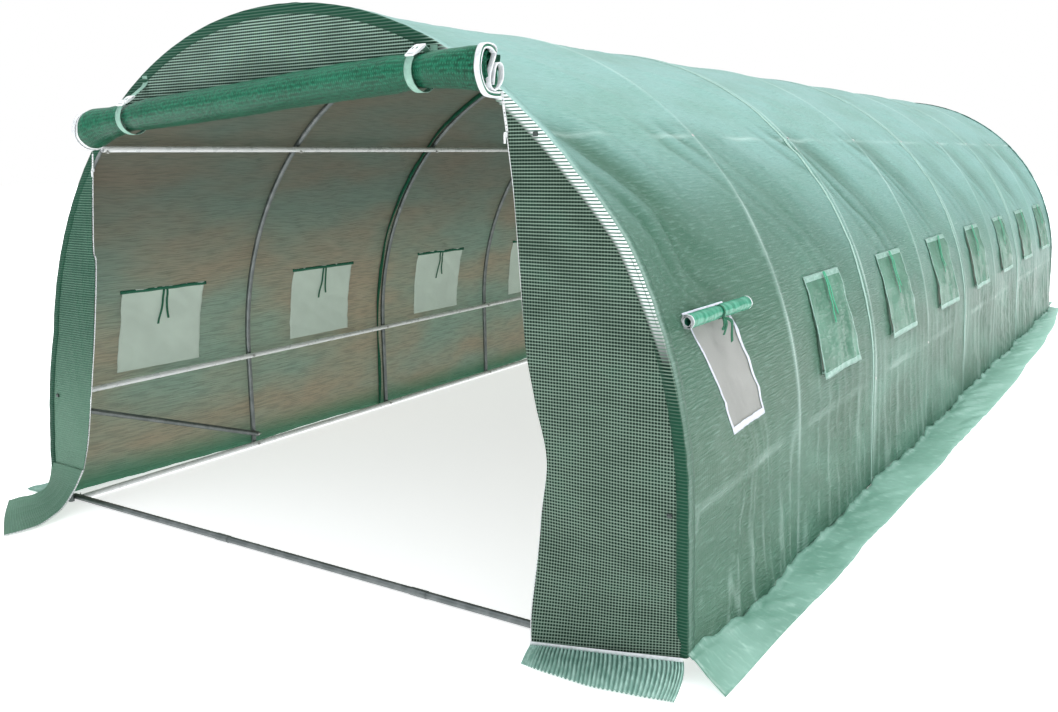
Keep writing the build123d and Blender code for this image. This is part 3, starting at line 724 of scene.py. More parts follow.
def make_cover():
    """Four sewn panels, each one sheet from foot to foot, with window openings."""
    right, left = window_places("right"), window_places("left")
    ss = steps([COVER_EDGES[0], *right, *SUPPORTS[2:5], left[1], left[0], COVER_EDGES[1]])
    middle_s = middles(ss)
    in_row = ((middle_s > right[0]) & (middle_s < right[1])) | ((middle_s > left[1]) & (middle_s < left[0]))
    ends = [FRONT_Y + FILM] + [y + SEAM_SHIFT for y in HOOP_YS[2:-1:2]] + [REAR_Y - FILM]
    for number, (start, end) in enumerate(zip(ends, ends[1:]), start=1):
        edges = [start, end] + [y + part * WINDOW_WIDTH / 2 for y in WINDOW_YS for part in (-1, 1)]
        edges += [y + TOUCH * part for y in HOOP_YS for part in (-1, 0, 1)]
        ys = steps(sorted({round(y, 5) for y in edges if start <= y <= end}))
        in_column = np.min(np.abs(middles(ys)[:, None] - np.array(WINDOW_YS)), axis=1) < WINDOW_WIDTH / 2
        y, s = np.meshgrid(ys, ss)
        points = cover_point(y, s)
        piece = sheet(
            f"cover_sheet_{number}", points, stack(y, s), [COVER_OUT], [COVER_IN],
            ~(in_row[:, None] & in_column[None, :]), marks=cover_marks(y, s, points[..., 2]),
        )
        finish_piece(piece, "root", "cover_film", f"cover_panel_{number}")


def make_seams():
    """A sewn seam at every second hoop: a tape outside and a hanging edge inside."""
    ss = steps(COVER_EDGES)
    for number, hoop in enumerate(HOOP_YS[2:-1:2], start=1):
        seam_y = hoop + SEAM_SHIFT
        y, s = np.meshgrid(seam_y + np.linspace(-0.010, 0.010, 4), ss)
        points = cover_point(y, s, 0.0013)
        piece = sheet(f"cover_seam_{number}", points, stack(s, y - seam_y), [PALE_BORDER], thickness=0.0006)
        finish_piece(piece, "root", "cover_film")
        depth, s = np.meshgrid(np.linspace(0, 1, 4), ss)
        y = seam_y + depth * (0.010 * bumps(s / 0.35, s * 0, 40 + number) - 0.012)
        across, up = arch(s, cover_out(seam_y, s) - 0.0015 - 0.026 * depth)
        piece = sheet(f"seam_edge_{number}", stack(across, y, up), stack(s, depth * 0.026), [DARK_EDGE])
        finish_piece(piece, "root", "cover_film")


# The binding's section: how far each point stands out from the hoops' line, and off the end wall
BINDING = np.array([(-0.033, 0.0009), (-0.018, 0.0012), (-0.004, 0.0014), (0.0012, 0.0006),
                    (0.0022, -0.004), (0.0024, -0.016), (0.0022, -0.030), (0.0020, -0.044)])
TURNED = -0.006                             # from here on the binding lies on the cover, not on the wall


def make_binding(name, wall_y, outward):
    """The strip that goes round the arch's edge: flat on the end wall, then turned over the cover."""
    out, s = np.meshgrid(BINDING[:, 0], steps(COVER_EDGES, 0.012))
    off = np.broadcast_to(BINDING[:, 1], s.shape)
    ripple = 0.0012 * bumps(s / 0.06, out * 8, 51) * (off < 0)
    across, up = arch(s, out + ripple + flare(wall_y, s))
    y = wall_y + outward * off + 0.0006 * bumps(s / 0.05, out * 9, 52)
    order = 1 if outward > 0 else -1
    points, off = stack(across, y, up + foot_lift(wall_y, s, up))[:, ::order], off[:, ::order]
    height = points[..., 2]
    # painted light and shade on the arch's edge: the upper right part gets a white painted highlight, the rest
    # a dark painted shade (negative edge)
    bright = unit((height - 0.75) / 0.35) * unit((points[..., 0] - 0.62) / 0.15)
    white = bright * unit((out[:, ::-1] + 0.027) / 0.006)
    edge = np.where(off < TURNED, 0.0, white - 0.8 * (1 - bright))
    # painted highlight along the turned-over fold, stronger on the lit upper right
    touch_highlight = (0.10 + 0.25 * bright) * bell(off + 0.012, 0.008)
    piece = sheet(
        name, points, stack(wall_y - outward * off, height), [END_FILM, COVER_OUT],
        paint=middles(off[0]) < TURNED, marks={"edge": edge, "height": height, "touch_highlight": touch_highlight},
    )
    finish_piece(piece, "root", "cover_film")


# ---------------------------------------------------------------- end walls

# The open door's edges in the front wall's plane, from the ground up to the arch
LEFT_ZIP = [(-1.425, LOW), (-1.345, 0.12), (-1.279, 0.30), (-1.235, 0.48), (-1.165, 0.79), (-1.119, 1.06),
            (-1.127, 1.12), (-1.105, 1.32), (-1.077, 1.519)]
RIGHT_ZIP = [(1.035, LOW), (1.022, 0.12), (1.036, 0.38), (1.062, 0.58), (1.025, 0.754), (0.996, 0.904),
             (0.983, 1.06), (0.963, 1.35), (0.945, 1.50), (0.923, 1.660)]
SWEEP_TOP = 0.17                            # the left panel sweeps forward below this height
SWEEP_ZIP_TOP = (-1.330, SWEEP_TOP)         # where the left zip meets the sweep


def arch_edge(height):
    """Half width of an end wall at a height."""
    return np.sqrt(np.maximum(END_R**2 - np.maximum(height - LEG, 0) ** 2, 0))


def rows_between(first, last, count):
    """Rows of evenly spread values from one edge to another."""
    return first[:, None] + (last - first)[:, None] * np.linspace(0, 1, count)


def wall_billow(x, z, seed, inner=0.008):
    """How far an end wall strays from its plane, least at the arch."""
    reach = np.where(z > LEG, END_R - np.hypot(x, z - LEG), END_R - np.abs(x))
    swell = inner * (0.5 + 0.5 * bumps(x / 0.5, z / 0.7, seed))
    return -unit(reach / 0.15) * (swell + 0.002 * creases(x / 0.08, z / 0.5, seed + 1))


def side_wall(name, side, zip_edge, seed):
    """One side panel of the front wall, from the door's edge to the arch."""
    zips = curve_through(zip_edge, 120)
    heights = steps([LOW if side > 0 else SWEEP_TOP, LEG, zip_edge[-1][1]], 0.014)
    inner = np.interp(heights, zips[:, 1], zips[:, 0])
    places = np.array([place_of(side, height) for height in heights])
    outer = side * (arch_edge(heights) + flare(FRONT_Y, places))
    x = rows_between(inner, outer, 36) if side > 0 else rows_between(outer, inner, 36)
    z = np.broadcast_to(heights[:, None], x.shape)
    y, up = FRONT_Y + wall_billow(x, z, seed), z
    if side > 0:
        share = np.linspace(0, 1, 36)
        y, up = y - door_kick(z) * (1 - share), z + share * foot_lift(FRONT_Y, 0, z)
    piece = sheet(f"{name}_sheet", stack(x, y, up), stack(x, z), [END_FILM if side > 0 else LEFT_FILM])
    finish_piece(piece, "root", "end_mesh", name)


def top_wall():
    """The front wall above the door: a segment of the arch over the sloping header seam."""
    low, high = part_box("front_wall_top")
    left_x, right_x = low.x - 0.07, high.x + 0.05
    x = steps([left_x, right_x], 0.014)
    bottom = roll_point(roll_share(x), 0, 0)[:, 2] + 0.040
    top = LEG + np.sqrt(END_R**2 - x**2)
    z = bottom + (top - bottom) * np.linspace(0, 1, 26)[:, None]
    points = stack(x, FRONT_Y + wall_billow(x, z, 63, 0.005), z)
    piece = sheet("front_wall_top_sheet", points, points[..., [0, 2]], [END_FILM])
    finish_piece(piece, "root", "end_mesh", "front_wall_top")


def zip_tape(name, path, y, width):
    """A zip half along an edge: tape with a row of moulded teeth."""
    line = stack(path[:, 0], y, path[:, 1])
    run = np.gradient(line, axis=0)
    strip = ribbon("strip", line, stack(-run[:, 2], 0.0, run[:, 0]), width, ZIP_TAPE)
    lengths = path_length(line)
    teeth = bmesh.new()
    for spot in np.arange(0.004, lengths[-1], 0.009):
        place = Matrix.Translation([np.interp(spot, lengths, line[:, axis]) for axis in range(3)])
        bmesh.ops.create_cube(teeth, size=1, matrix=place @ Matrix.Diagonal((0.005, 0.0026, 0.0045, 1)))
    mesh = bpy.data.meshes.new("teeth")
    teeth.to_mesh(mesh)
    mesh.materials.append(WHITE_PLASTIC)
    finish_piece(join(name, [strip, add_object("teeth", mesh)]), "root", "zip_plastic")


def front_zips():
    """The zip halves on the front panels, either side of the open door."""
    for name, path in (("right", RIGHT_ZIP), ("left", [SWEEP_ZIP_TOP, *LEFT_ZIP[2:]])):
        line = curve_through(path, 160)
        kick = door_kick(line[:, 1]) if name == "right" else 0
        zip_tape(f"front_zip_{name}", line, FRONT_Y - 0.0012 - kick, 0.009)


def rear_end():
    """The closed rear wall: two side panels, a top panel and a door between two zips."""
    half, _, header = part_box("rear_door")[1]
    heights = steps([LOW, LEG, header, LEG + END_R - 0.0005], 0.016)
    outline = arch_edge(heights)

    def panel(name, node_name, slot_name, rows, left, right, seed, **cut):
        """A sheet whose rows run from one edge to the other."""
        x = rows_between(left, right, 90)
        z = rows[:, None]
        points = stack(x, REAR_Y - wall_billow(x, z, seed), z)
        piece = sheet(name, points, points[..., [0, 2]], [END_FILM])
        finish_piece(piece, "root", slot_name, node_name)
        area_between(left, right, rows)

    low, high, beside = heights <= header, heights >= header, outline > half
    edge, reach = np.full(beside.sum(), half + 0.001), outline[beside]
    for name, rows, left, right, seed in (
        ("right", beside, reach, edge, 71), ("left", beside, -edge, -reach, 72),
        ("top", high, outline[high], -outline[high], 73),
    ):
        panel(f"rear_wall_sheet_{name}", "rear_wall", "end_mesh", heights[rows], left, right, seed,
              held="stretched", rests_on=["hoop_9"])
    door_edge = np.minimum(outline[low], half)
    panel("rear_door_sheet", "rear_door", "door_film", heights[low], door_edge, -door_edge, 75,
          held="hung", rests_on=["rear_wall_sheet_top"])
    top = LEG + math.sqrt(END_R**2 - half**2)
    for name, side in SIDES.items():
        path = stack(side * half, np.linspace(0.004, top - 0.01, 90))
        zip_tape(f"rear_zip_{name}", path, REAR_Y + 0.0012, 0.022)


# ---------------------------------------------------------------- door

ROLL_RIM = 0.012                            # width of the zip tape that shows at the roll's left end

# The zip edge at the roll's right end, curled into a tall loop and a smaller one behind it, in roll radii
END_LOOP = [(0.74, -1.28), (-0.40, -1.13), (-0.94, -0.10), (-0.66, 0.98), (0.0, 1.18), (0.50, 0.90),
            (0.0, -0.21), (0.02, -0.76), (0.37, -0.87), (0.86, -0.42), (0.90, 0.13), (0.68, 0.29),
            (0.40, 0.08), (0.21, -0.70)]


def roll_share(x):
    """Share of the way from the roll's left end to its right one."""
    return (x - ROLL_LEFT.x) / (ROLL_RIGHT.x - ROLL_LEFT.x)


def roll_bow(share):
    """How far the roll is held above the straight line between its ends."""
    return ROLL_BOW * (1 - np.exp(-unit(share) / 0.05)) * (1 - np.exp(-unit(1 - share) / 0.07))


def roll_point(share, angle, radius, flatten=0.0):
    """Points round the roll: share runs from its left end to its right, angle 0 is its front, 90 its top."""
    x = ROLL_LEFT.x + (ROLL_RIGHT.x - ROLL_LEFT.x) * share
    middle_z = ROLL_LEFT.z + (ROLL_RIGHT.z - ROLL_LEFT.z) * share + roll_bow(share)
    turn = np.radians(angle)
    y = ROLL_Y - radius * (1 - 0.38 * flatten) * np.cos(turn) + 0.006 * flatten
    return stack(x, y, middle_z + radius * (1 + 0.16 * flatten) * np.sin(turn))


def roll_radius(share, angle, wound, outer, x):
    """Radius of the wound door: it shrinks inward, is pinched by the straps and swells at its left end."""
    radius = ROLL_R - 0.002 - (ROLL_R - ROLL_CORE) * wound
    for strap_x in STRAP_XS.values():
        pinch = bell(x - (strap_x - ROLL_LEFT.x), 0.06)
        radius = radius - (0.011 * outer + 0.005 * (1 - outer)) * pinch * radius / ROLL_R
    radius = radius * (1 + 0.26 * unit((0.072 - share) / 0.05))
    turn = np.radians(angle)
    radius = radius + 0.0030 * outer * bumps(x / 0.35, np.sin(turn) + np.cos(turn) * 0.7, 81)
    return radius + 0.0022 * outer * (creases(x / 0.16 + angle / 240, angle / 130, 82) - 0.4)


def make_roll():
    """The rolled-up door: the whole sheet wound six times, with its white zip edges at both ends."""
    length = (ROLL_RIGHT - ROLL_LEFT).length
    shares = steps([0, ROLL_RIM / length, 1 - ROLL_RIM / length, 1], 0.014 / length)
    share, angle = np.meshgrid(shares, np.linspace(180, 180 - 360 * ROLL_TURNS, 48 * ROLL_TURNS + 1))
    x = share * length
    wound = (180 - angle) / (360 * ROLL_TURNS)
    outer = unit(1 - wound * ROLL_TURNS / 2.5)
    right_end = unit((share - 0.90) / 0.10) ** 1.5
    points = roll_point(share, angle, roll_radius(share, angle, wound, outer, x), right_end)
    points[..., 0] += (share - 0.5) * 2 * (share > 0.9) * 0.010 * bumps(angle / 300, angle * 0, 83)
    points[..., 0] += (share < 0.1) * 0.008 * bumps(angle / 260, angle * 0, 84)
    points[..., 2] += 0.010 * right_end * (1 - outer) * np.sin(np.radians(angle) / 2)
    points[..., 1] += 0.010 * right_end * (1 - outer)
    points[..., 0] = np.clip(points[..., 0], ROLL_LEFT.x - 0.012, ROLL_RIGHT.x + 0.012)
    cloth_length = float(path_length(points[:, len(shares) // 2])[-1])
    # the under mark carries the painted shade of the roll's underside
    piece = sheet(
        "door_roll_sheet", points, stack(x, cloth_length * wound), [ROLL_FILM, ZIP_TAPE],
        paint=middles(shares) < ROLL_RIM / length, thickness=0.0007,
        marks={"under": unit(0.15 - np.sin(np.radians(angle))) * outer},
    )
    finish_piece(piece, "door_roll_body", "door_film", "door_roll")
    left_loop = points[: int(48 * 1.7) : 2, 0] * (0, 1, 1) + (points[0, 0, 0] - 0.002, 0, 0)
    left_tape = ribbon("door_zip_left", left_loop, (1, 0, 0), 0.016, WHITE_TAPE, 0.0050, 5)
    right_tapes = []
    for size, count, material in ((1.0, 14, WHITE_TAPE), (0.92, 6, DARK_EDGE), (0.85, 6, WHITE_TAPE)):
        out, up = ROLL_R * size * np.array(END_LOOP[:count]).T
        loop = curve_through(stack(ROLL_RIGHT.x + 0.006, ROLL_Y + out, ROLL_RIGHT.z + up), 12 * count)
        right_tapes.append(ribbon("loop", loop, (1, 0, 0), 0.017, material, 0.0045, 5))
    for loops in (left_tape, join("door_zip_right", right_tapes)):
        finish_piece(loops, "door_roll_body", "zip_plastic")


def make_curtain():
    """The part of the door between the header seam and the roll."""
    back_y = FRONT_Y - 0.0012
    share = np.linspace(0, 1, 110)
    bottom = roll_point(share, 180, ROLL_R - 0.004)
    top = bottom + (0, 0, 0.045)
    top[:, 1] = back_y
    fall = np.linspace(0, 1, 28)[:, None]
    points = bottom + (top - bottom) * fall[..., None]
    points[..., 1] = np.minimum(points[..., 1] + 0.0012 * bumps(share * 12, fall * 2, 91), back_y)
    piece = sheet("door_curtain_sheet", points, stack(share * 1.9, fall * 1.5), [ROLL_FILM], thickness=0.0006)
    finish_piece(piece, None, "door_film", "door_curtain")
    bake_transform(piece)


# The two halves of a buckle: each block's size, its place down the strap and sideways, and its rounding
SOCKET = [
    ((0.036, 0.040, 0.011), -0.020, 0, 0.002), ((0.036, 0.005, 0.007), -0.044, 0, 0.0012),
    ((0.004, 0.014, 0.006), -0.037, 0.016, 0.0012), ((0.004, 0.014, 0.006), -0.037, -0.016, 0.0012),
    ((0.010, 0.014, 0.0122), -0.014, 0, 0.001),
]
# the dark block in the socket's opening stands in for the shade inside it
SLOT = [((0.022, 0.012, 0.0116), -0.016, 0, 0.001)]
PLUG = [
    ((0.034, 0.012, 0.009), 0.003, 0, 0.0018), ((0.034, 0.004, 0.006), 0.018, 0, 0.0012),
    ((0.004, 0.012, 0.006), 0.011, 0.015, 0.001), ((0.004, 0.012, 0.006), 0.011, -0.015, 0.001),
]


def make_straps():
    """Two straps from the header round the roll, each with a side-release buckle."""
    across = Vector((1, 0, 0))
    hold = ROLL_R - 0.006
    slope = math.radians(58)
    down = Vector((0, -math.sin(slope), -math.cos(slope)))
    turn = Matrix((across, down, across.cross(down))).transposed().to_4x4()
    for name, x in STRAP_XS.items():
        axis = Vector(roll_point(roll_share(x), 0, 0))
        arch_z = LEG + math.sqrt(END_R**2 - x**2)
        sewn = Vector((x, FRONT_Y - 0.002, min(axis.z + 0.135, arch_z - 0.040)))
        buckle = axis + (hold + 0.008) * Vector((0, -math.cos(slope), math.sin(slope)))
        entry = buckle - down * 0.046
        path = [sewn + Vector((0, 0, 0.03)), sewn, (sewn + entry) / 2 + Vector((0, -0.002, -0.004)), entry]
        round_roll = roll_point(roll_share(x), np.linspace(40, -172, 46), hold + 0.0035)
        tail_path = np.concatenate([[buckle + down * 0.017], round_roll])
        for part, body, line, white, dark, node_name in (
            ("strap_upper", "root", curve_through(path, 22), SOCKET, SLOT, "door_straps"),
            ("strap_tail", "door_roll_body", tail_path, PLUG, [], "strap_tails"),
        ):
            pieces = [ribbon("webbing", line, across, STRAP_WIDTH, STRAP, 0.0016, 5)]
            for material, blocks in ((WHITE_PLASTIC, white), (DARK_EDGE, dark)):
                for size, along, sideways, rounding in blocks:
                    place = buckle + down * along + across * sideways
                    pieces.append(block(size, place, material, rounding, turn))
            stands_for = [node_name] if name == "right" else []
            finish_piece(join(f"{part}_{name}", pieces), body, "webbing", *stands_for)


# ---------------------------------------------------------------- windows


def window_border(name, side, y, low, high, border, material):
    """A border of tape round a window opening, lying on the cover."""
    half = WINDOW_WIDTH / 2
    ys = steps([y - half - border, y - half, y + half, y + half + border], 0.010)[::side]
    ss = steps([low - border * side * 1.25, low, high, high + border * side * 0.6], 0.010)
    inside_y = np.abs(middles(ys) - y) < half
    inside_s = (middles(ss) - low) * (middles(ss) - high) < 0
    grid_y, grid_s = np.meshgrid(ys, ss)
    return sheet(
        name, cover_point(grid_y, grid_s, 0.0016), stack(grid_y, grid_s), [material],
        keep=~(inside_s[:, None] & inside_y[None, :]), thickness=0.0009,
    )


def tie_strips(name, side, y, top, drop, lift, material):
    """Two ties hanging side by side from the top of a window, on the cover's outside or inside."""
    pieces = []
    fall = np.linspace(0, 1, 16)
    for number, (shift, length, lean) in enumerate(((-0.006, drop, -0.012), (0.008, drop * 0.86, 0.020))):
        ys = y + shift + lean * fall + 0.004 * np.sin(fall * 5 + number)
        off = lift + 0.004 * fall * math.copysign(1, lift)
        path = cover_point(ys, top - side * length * fall, off)
        pieces.append(ribbon("tie", path, (0, 1, 0), 0.011, material))
    return join(name, pieces)


def hanging_flap(name, side, y, low, high):
    """A hanging flap with welded hems: sewn at its top edge, its lower edge free and a little curled."""
    half, hem = FLAP_WIDTH / 2, 0.010
    ys = steps([y - half, y + half], 0.012)[::side]
    grid_y, grid_s = np.meshgrid(ys, steps([low, high], 0.012))
    fallen = (grid_s - high) / (low - high)
    seed = 100 + int(round(y * 10)) + (50 if side < 0 else 0)
    lift = 0.0045 + 0.014 * fallen**1.5 + 0.004 * fallen * bumps(grid_y / 0.16, grid_s / 0.3, seed)
    lift += 0.003 * fallen * creases(grid_y / 0.10, grid_s / 0.5, seed + 1)
    behind = cover_out(grid_y, grid_s)
    smooth = cover_out(grid_y, high) * (1 - fallen) + behind * fallen
    across, up = arch(grid_s, np.maximum(smooth, behind) + lift)
    at_y, at_s = np.abs(middles(ys) - y)[None, :], middles(grid_s[:, 0])[:, None]
    paint = (at_y > half - hem) | (np.abs(at_s - low) < 1.8 * hem) | (np.abs(at_s - high) < 2 * hem)
    points = stack(across, grid_y, up)
    return sheet(name, points, stack(grid_y, grid_s), [FLAP, FLAP_HEM], paint=paint, thickness=0.0005)


def rolled_flap(name, y):
    """The front right flap, rolled up and tied: a spiral of film with white rims."""
    low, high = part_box(name)
    radius, width = (high.x - low.x) / 2, (high.y - low.y) * 0.96
    axis = (low + high) / 2
    y += PULL["middle"] + PULL["height"] * 0.55
    turns, rim = 4, 0.006
    ys = steps([y - width / 2, y - width / 2 + rim, y + width / 2 - rim, y + width / 2], 0.012)
    grid_y, angle = np.meshgrid(ys, np.linspace(140, 140 - 360 * turns, 40 * turns + 1))
    wound, turn = (140 - angle) / (360 * turns), np.radians(angle)
    reach = (radius - (radius - 0.011) * wound) * (1 - 0.12 * bell(grid_y - y, 0.02))
    reach = reach + 0.0010 * bumps(grid_y / 0.08, turn, 141)
    points = stack(axis.x + reach * np.cos(turn), grid_y, axis.z + reach * np.sin(turn))
    cloth_length = float(path_length(points[:, 4])[-1])
    piece = sheet(
        f"{name}_rolled", points, stack(grid_y, cloth_length * wound), [FLAP_ROLL, WHITE_TAPE],
        paint=np.abs(middles(ys) - y) > width / 2 - rim, thickness=0.0007,
    )
    finish_piece(piece, f"{name}_body", "flap_film", name)
    loop_turn, loop_r = np.radians(np.linspace(150, -210, 30)), radius * 0.92 + 0.001
    loop = stack(axis.x + loop_r * np.cos(loop_turn), y, axis.z + loop_r * np.sin(loop_turn))
    knot = np.array((axis.x + radius * 0.72, y, axis.z - radius * 0.75))
    bow = [(0.010, -0.012, -0.016), (0.008, -0.020, -0.030), (0.006, -0.004, -0.034), (0.004, 0.002, -0.004)]
    tail = [(0.012, 0.016, -0.006), (0.012, 0.040, -0.020), (0.004, 0.058, -0.058), (0.002, 0.066, -0.085)]
    short = [(0.010, 0.004, -0.018), (0.006, -0.008, -0.052)]
    pieces = [ribbon("loop", loop, (0, 1, 0), 0.011, TIE, 0.0014)]
    ways = (bow, (0.4, 0.9, 0.3), 24), (tail, (0.5, 0.5, 0.6), 24), (short, (0.2, 1, 0), 16)
    for path, across, count in ways:
        end = knot + curve_through([(0, 0, 0), *path], count)
        pieces.append(ribbon("end", end, across, 0.010, TIE, 0.0014))
    tie = finish_piece(join(f"{name}_tie", pieces), f"{name}_body", "webbing")


def make_flap(name, side, y, low, high):
    """A flap over a window with its two ties."""
    flap = hanging_flap(f"{name}_sheet", side, y, low, high)
    finish_piece(flap, None, "flap_film", name)
    ties = tie_strips(f"{name}_ties", side, y, high, 0.21, 0.014, BRIGHT_TIE)
    finish_piece(ties, None, "webbing")
    top_point, down_point = cover_point(y, high, 0.005), cover_point(y, high - 0.045 * side, 0.005)
    for part in (flap, ties):
        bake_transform(part)
        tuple(top_point)
        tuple(down_point)


def make_window(name, number, y):
    """A window: net in the opening, borders round it, ties inside, and a flap over it."""
    side = SIDES[name]
    low, high = window_places(name)
    first = (name, number) == ("right", 1)
    half, lap = WINDOW_WIDTH / 2 + NET_LAP, NET_LAP * side
    ys, ss = steps([y - half, y + half], 0.014)[::side], steps([low - lap, high + lap], 0.014)
    grid_y, grid_s = np.meshgrid(ys, ss)
    points = cover_point(grid_y, grid_s, -0.0016)
    wrinkle = creases((grid_y - y) / 0.10 + (grid_s - low) / 0.16, grid_s / 0.3, 150 + number)
    points[..., 0] -= side * 0.004 * unit(wrinkle - 0.5)
    screen = sheet(
        f"window_net_{name}_{number}", points, stack(grid_y, grid_s), [NET], [NET_INSIDE], thickness=0.0005,
    )
    finish_piece(screen, "root", "insect_screen", f"window_screens_{name}")
    width, material = (0.018, BORDER) if first else (0.010, PALE_BORDER)
    border = window_border(f"window_border_{name}_{number}", side, y, low, high, width, material)
    finish_piece(border, "root", "insect_screen")
    top_line = cover_point(np.linspace(y - 0.225, y + 0.225, 24), high + 0.006 * side, -0.0035)
    inner = ribbon(f"window_top_tape_{name}_{number}", top_line, (0, 0, 1), 0.016, DARK_EDGE, 0.001)
    finish_piece(inner, "root", "webbing")
    inner_ties = tie_strips(f"window_inner_ties_{name}_{number}", side, y, high, 0.17, -0.006, TIE)
    finish_piece(inner_ties, "root", "webbing")
    if first:
        rolled_flap("flap_right_1", y)
    else:
        make_flap(f"flap_{name}_{number}", side, y, low - 0.030 * side, high + 0.004 * side)


# ---------------------------------------------------------------- skirts


def ground_height(x, y, seed):
    """Height of a skirt over the ground: low ripples that touch it."""
    ripple = bumps(x / 0.22, y / 0.30, seed) + 0.5 * bumps(x / 0.10, y / 0.09, seed + 1)
    return 0.0022 + 0.010 * np.clip(ripple, 0, 1.2)


def side_skirt(name):
    """The skirt along one side, lying on the ground outside the cover's foot."""
    side = SIDES[name]
    ys = steps([FRONT_Y + FILM, REAR_Y - FILM], 0.016)
    foot_line = cover_point(ys, COVER_EDGES[0] if side > 0 else COVER_EDGES[1])
    foot, foot_z = np.abs(foot_line[:, 0]), foot_line[:, 2]
    front = 1.655 if side > 0 else 1.79
    reach = np.interp(ys, [-4.02, -2.0, 0.0, 2.0, 3.3, 4.02], [front, 1.690, 1.722, 1.700, 1.640, 1.575])
    reach = reach + 0.006 * bumps(ys / 0.7, ys * 0, 201 + side)
    share = np.linspace(0, 1, 18)
    x, y = rows_between(foot, reach, 18), ys[:, None]
    z = ground_height(x, y, 203 + side) * unit(share * 6) + 0.0022
    z = z + 0.010 * unit(1 - share * 9) * (1 + bumps(y / 0.11, x * 0, 207))
    z += 0.006 * creases(y / 0.13 + share[None, :] * 0.4, x / 0.6, 208 + side) * (1 - share) ** 0.5
    z += (foot_z - 0.004)[:, None] * (1 - share)
    y = y - 0.030 * bell(y - FRONT_Y, 0.25) * share * (side > 0)
    points = stack(side * x, y, z)[:, ::side]
    pale = share[::side] * np.interp(y, [-4, -2, 3], [0.15, 0.8, 2.0])
    piece = sheet(f"skirt_{name}_sheet", points, points[..., [1, 0]], [SKIRT_FILM], marks={"pale": pale})
    finish_piece(piece, "root", "cover_film", f"skirt_{name}")


def front_skirt_right():
    """The pleated skirt under the right front panel: forty fine folds fanning out from its seam."""
    front = FRONT_Y - 0.0015
    pleats, columns = 40, 480
    top = curve_through([(1.030, front - 0.062, 0.012), (1.25, front - 0.040, 0.036),
                         (1.520, front - 0.012, 0.066)], columns)
    middle = curve_through([(1.040, front - 0.090, 0.014), (1.27, front - 0.075, 0.024),
                            (1.540, front - 0.030, 0.030)], columns)
    edge = curve_through([(1.062, -4.180, 0.003), (1.310, -4.186, 0.004), (1.545, -4.143, 0.003)], columns)
    share, side = np.linspace(0, 1, 24)[:, None], np.linspace(0, 1, columns)[None, :]
    fall = share[..., None]
    points = (1 - fall) ** 2 * top + 2 * fall * (1 - fall) * middle + fall**2 * edge
    folds = np.sin(side * pleats * 2 * math.pi + 0.6 * bumps(side * 9, side * 0, 211))
    depth = 0.0042 * unit((side - 0.03) / 0.12) * unit((1.0 - side) / 0.03)
    points[..., 2] += depth * (folds + 1) * (0.35 + 0.65 * np.sin(np.pi * share * 0.8 + 0.3))
    points[..., 1] += 0.003 * bumps(side * 3, share * 1.5, 213) * share
    points[..., 2] = np.maximum(points[..., 2], 0.0016)
    # where the pleats' grooves get painted shade
    groove_shade = unit(0.15 - folds) * unit((side - 0.05) / 0.1) * (1 - 0.55 * share)
    flat = stack(side * 0.5, share * 0.17)
    piece = sheet("skirt_front_right_sheet", points[::-1], flat[::-1], [PLEATS], marks={"groove_shade": groove_shade[::-1]})
    finish_piece(piece, "root", "cover_film", "skirt_front_right")
    seam = [(1.032, front - 0.066, 0.018), (1.25, front - 0.046, 0.042), (1.520, front - 0.015, 0.070)]
    seam_tape = ribbon("front_skirt_seam", curve_through(seam, 90), (0, 0, 1), 0.012, WHITE_TAPE)
    finish_piece(seam_tape, "root", "webbing")


def front_skirt_left():
    """The lower end of the left front panel, which sweeps forward over the ground."""
    front = FRONT_Y - 0.0015
    columns = 70
    top = curve_through([(x, front, SWEEP_TOP) for x in (-1.566, -1.45, -1.327)], columns)
    knee = curve_through([(-1.590, front - 0.005, 0.01), (-1.46, front - 0.03, 0.006),
                          (-1.330, front - 0.075, 0.012)], columns)
    reach = curve_through([(-1.67, -4.02, 0.004), (-1.48, -4.13, 0.004), (-1.225, -4.230, 0.004)], columns)
    edge = curve_through([(-1.722, -4.135, 0.003), (-1.525, -4.262, 0.003), (-1.305, -4.385, 0.003)], columns)
    share, side = np.linspace(0, 1, 44)[:, None], np.linspace(0, 1, columns)[None, :]
    fall = share[..., None]
    points = (1 - fall) ** 3 * top + 3 * fall * (1 - fall) ** 2 * knee
    points = points + 3 * fall**2 * (1 - fall) * reach + fall**3 * edge
    lift = 0.008 * creases(side / 0.35, share / 1.5, 221) * np.sin(np.pi * share) ** 0.7
    lift = lift + 0.004 * bumps(side * 3, share * 4, 222) * share
    points[..., 2] = np.maximum(points[..., 2] + lift, 0.0016)
    flat = stack(side * 0.3, SWEEP_TOP - share * 0.42)
    piece = sheet("skirt_front_left_sheet", points[::-1], flat[::-1], [LEFT_FILM])
    finish_piece(piece, "root", "cover_film", "skirt_front_left")
    rim = points[:, -1] + (0, -0.0015, 0.0015)
    rim_tape = ribbon("front_skirt_left_zip", rim, points[:, -1] - points[:, -3], 0.013, ZIP_TAPE)
    finish_piece(rim_tape, "root", "zip_plastic")


def rear_skirt():
    """The skirt that lies behind the rear wall."""
    low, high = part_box("skirt_rear")
    x, share = steps([low.x, high.x], 0.016), np.linspace(0, 1, 22)[:, None]
    reach = high.y - 0.02 + 0.010 * bumps(x / 0.6, x * 0, 231)
    y = (REAR_Y + 0.001) + (reach - REAR_Y - 0.001) * share
    z = ground_height(x, y, 233) * unit(share * 6) + 0.0022 + 0.012 * unit(1 - share * 8)
    points = stack(x, y, z)
    piece = sheet("skirt_rear_sheet", points, points[..., [0, 1]], [SKIRT_FILM], marks={"pale": share})
    finish_piece(piece, "root", "cover_film", "skirt_rear")


# ---------------------------------------------------------------- bolt heads and zip sliders


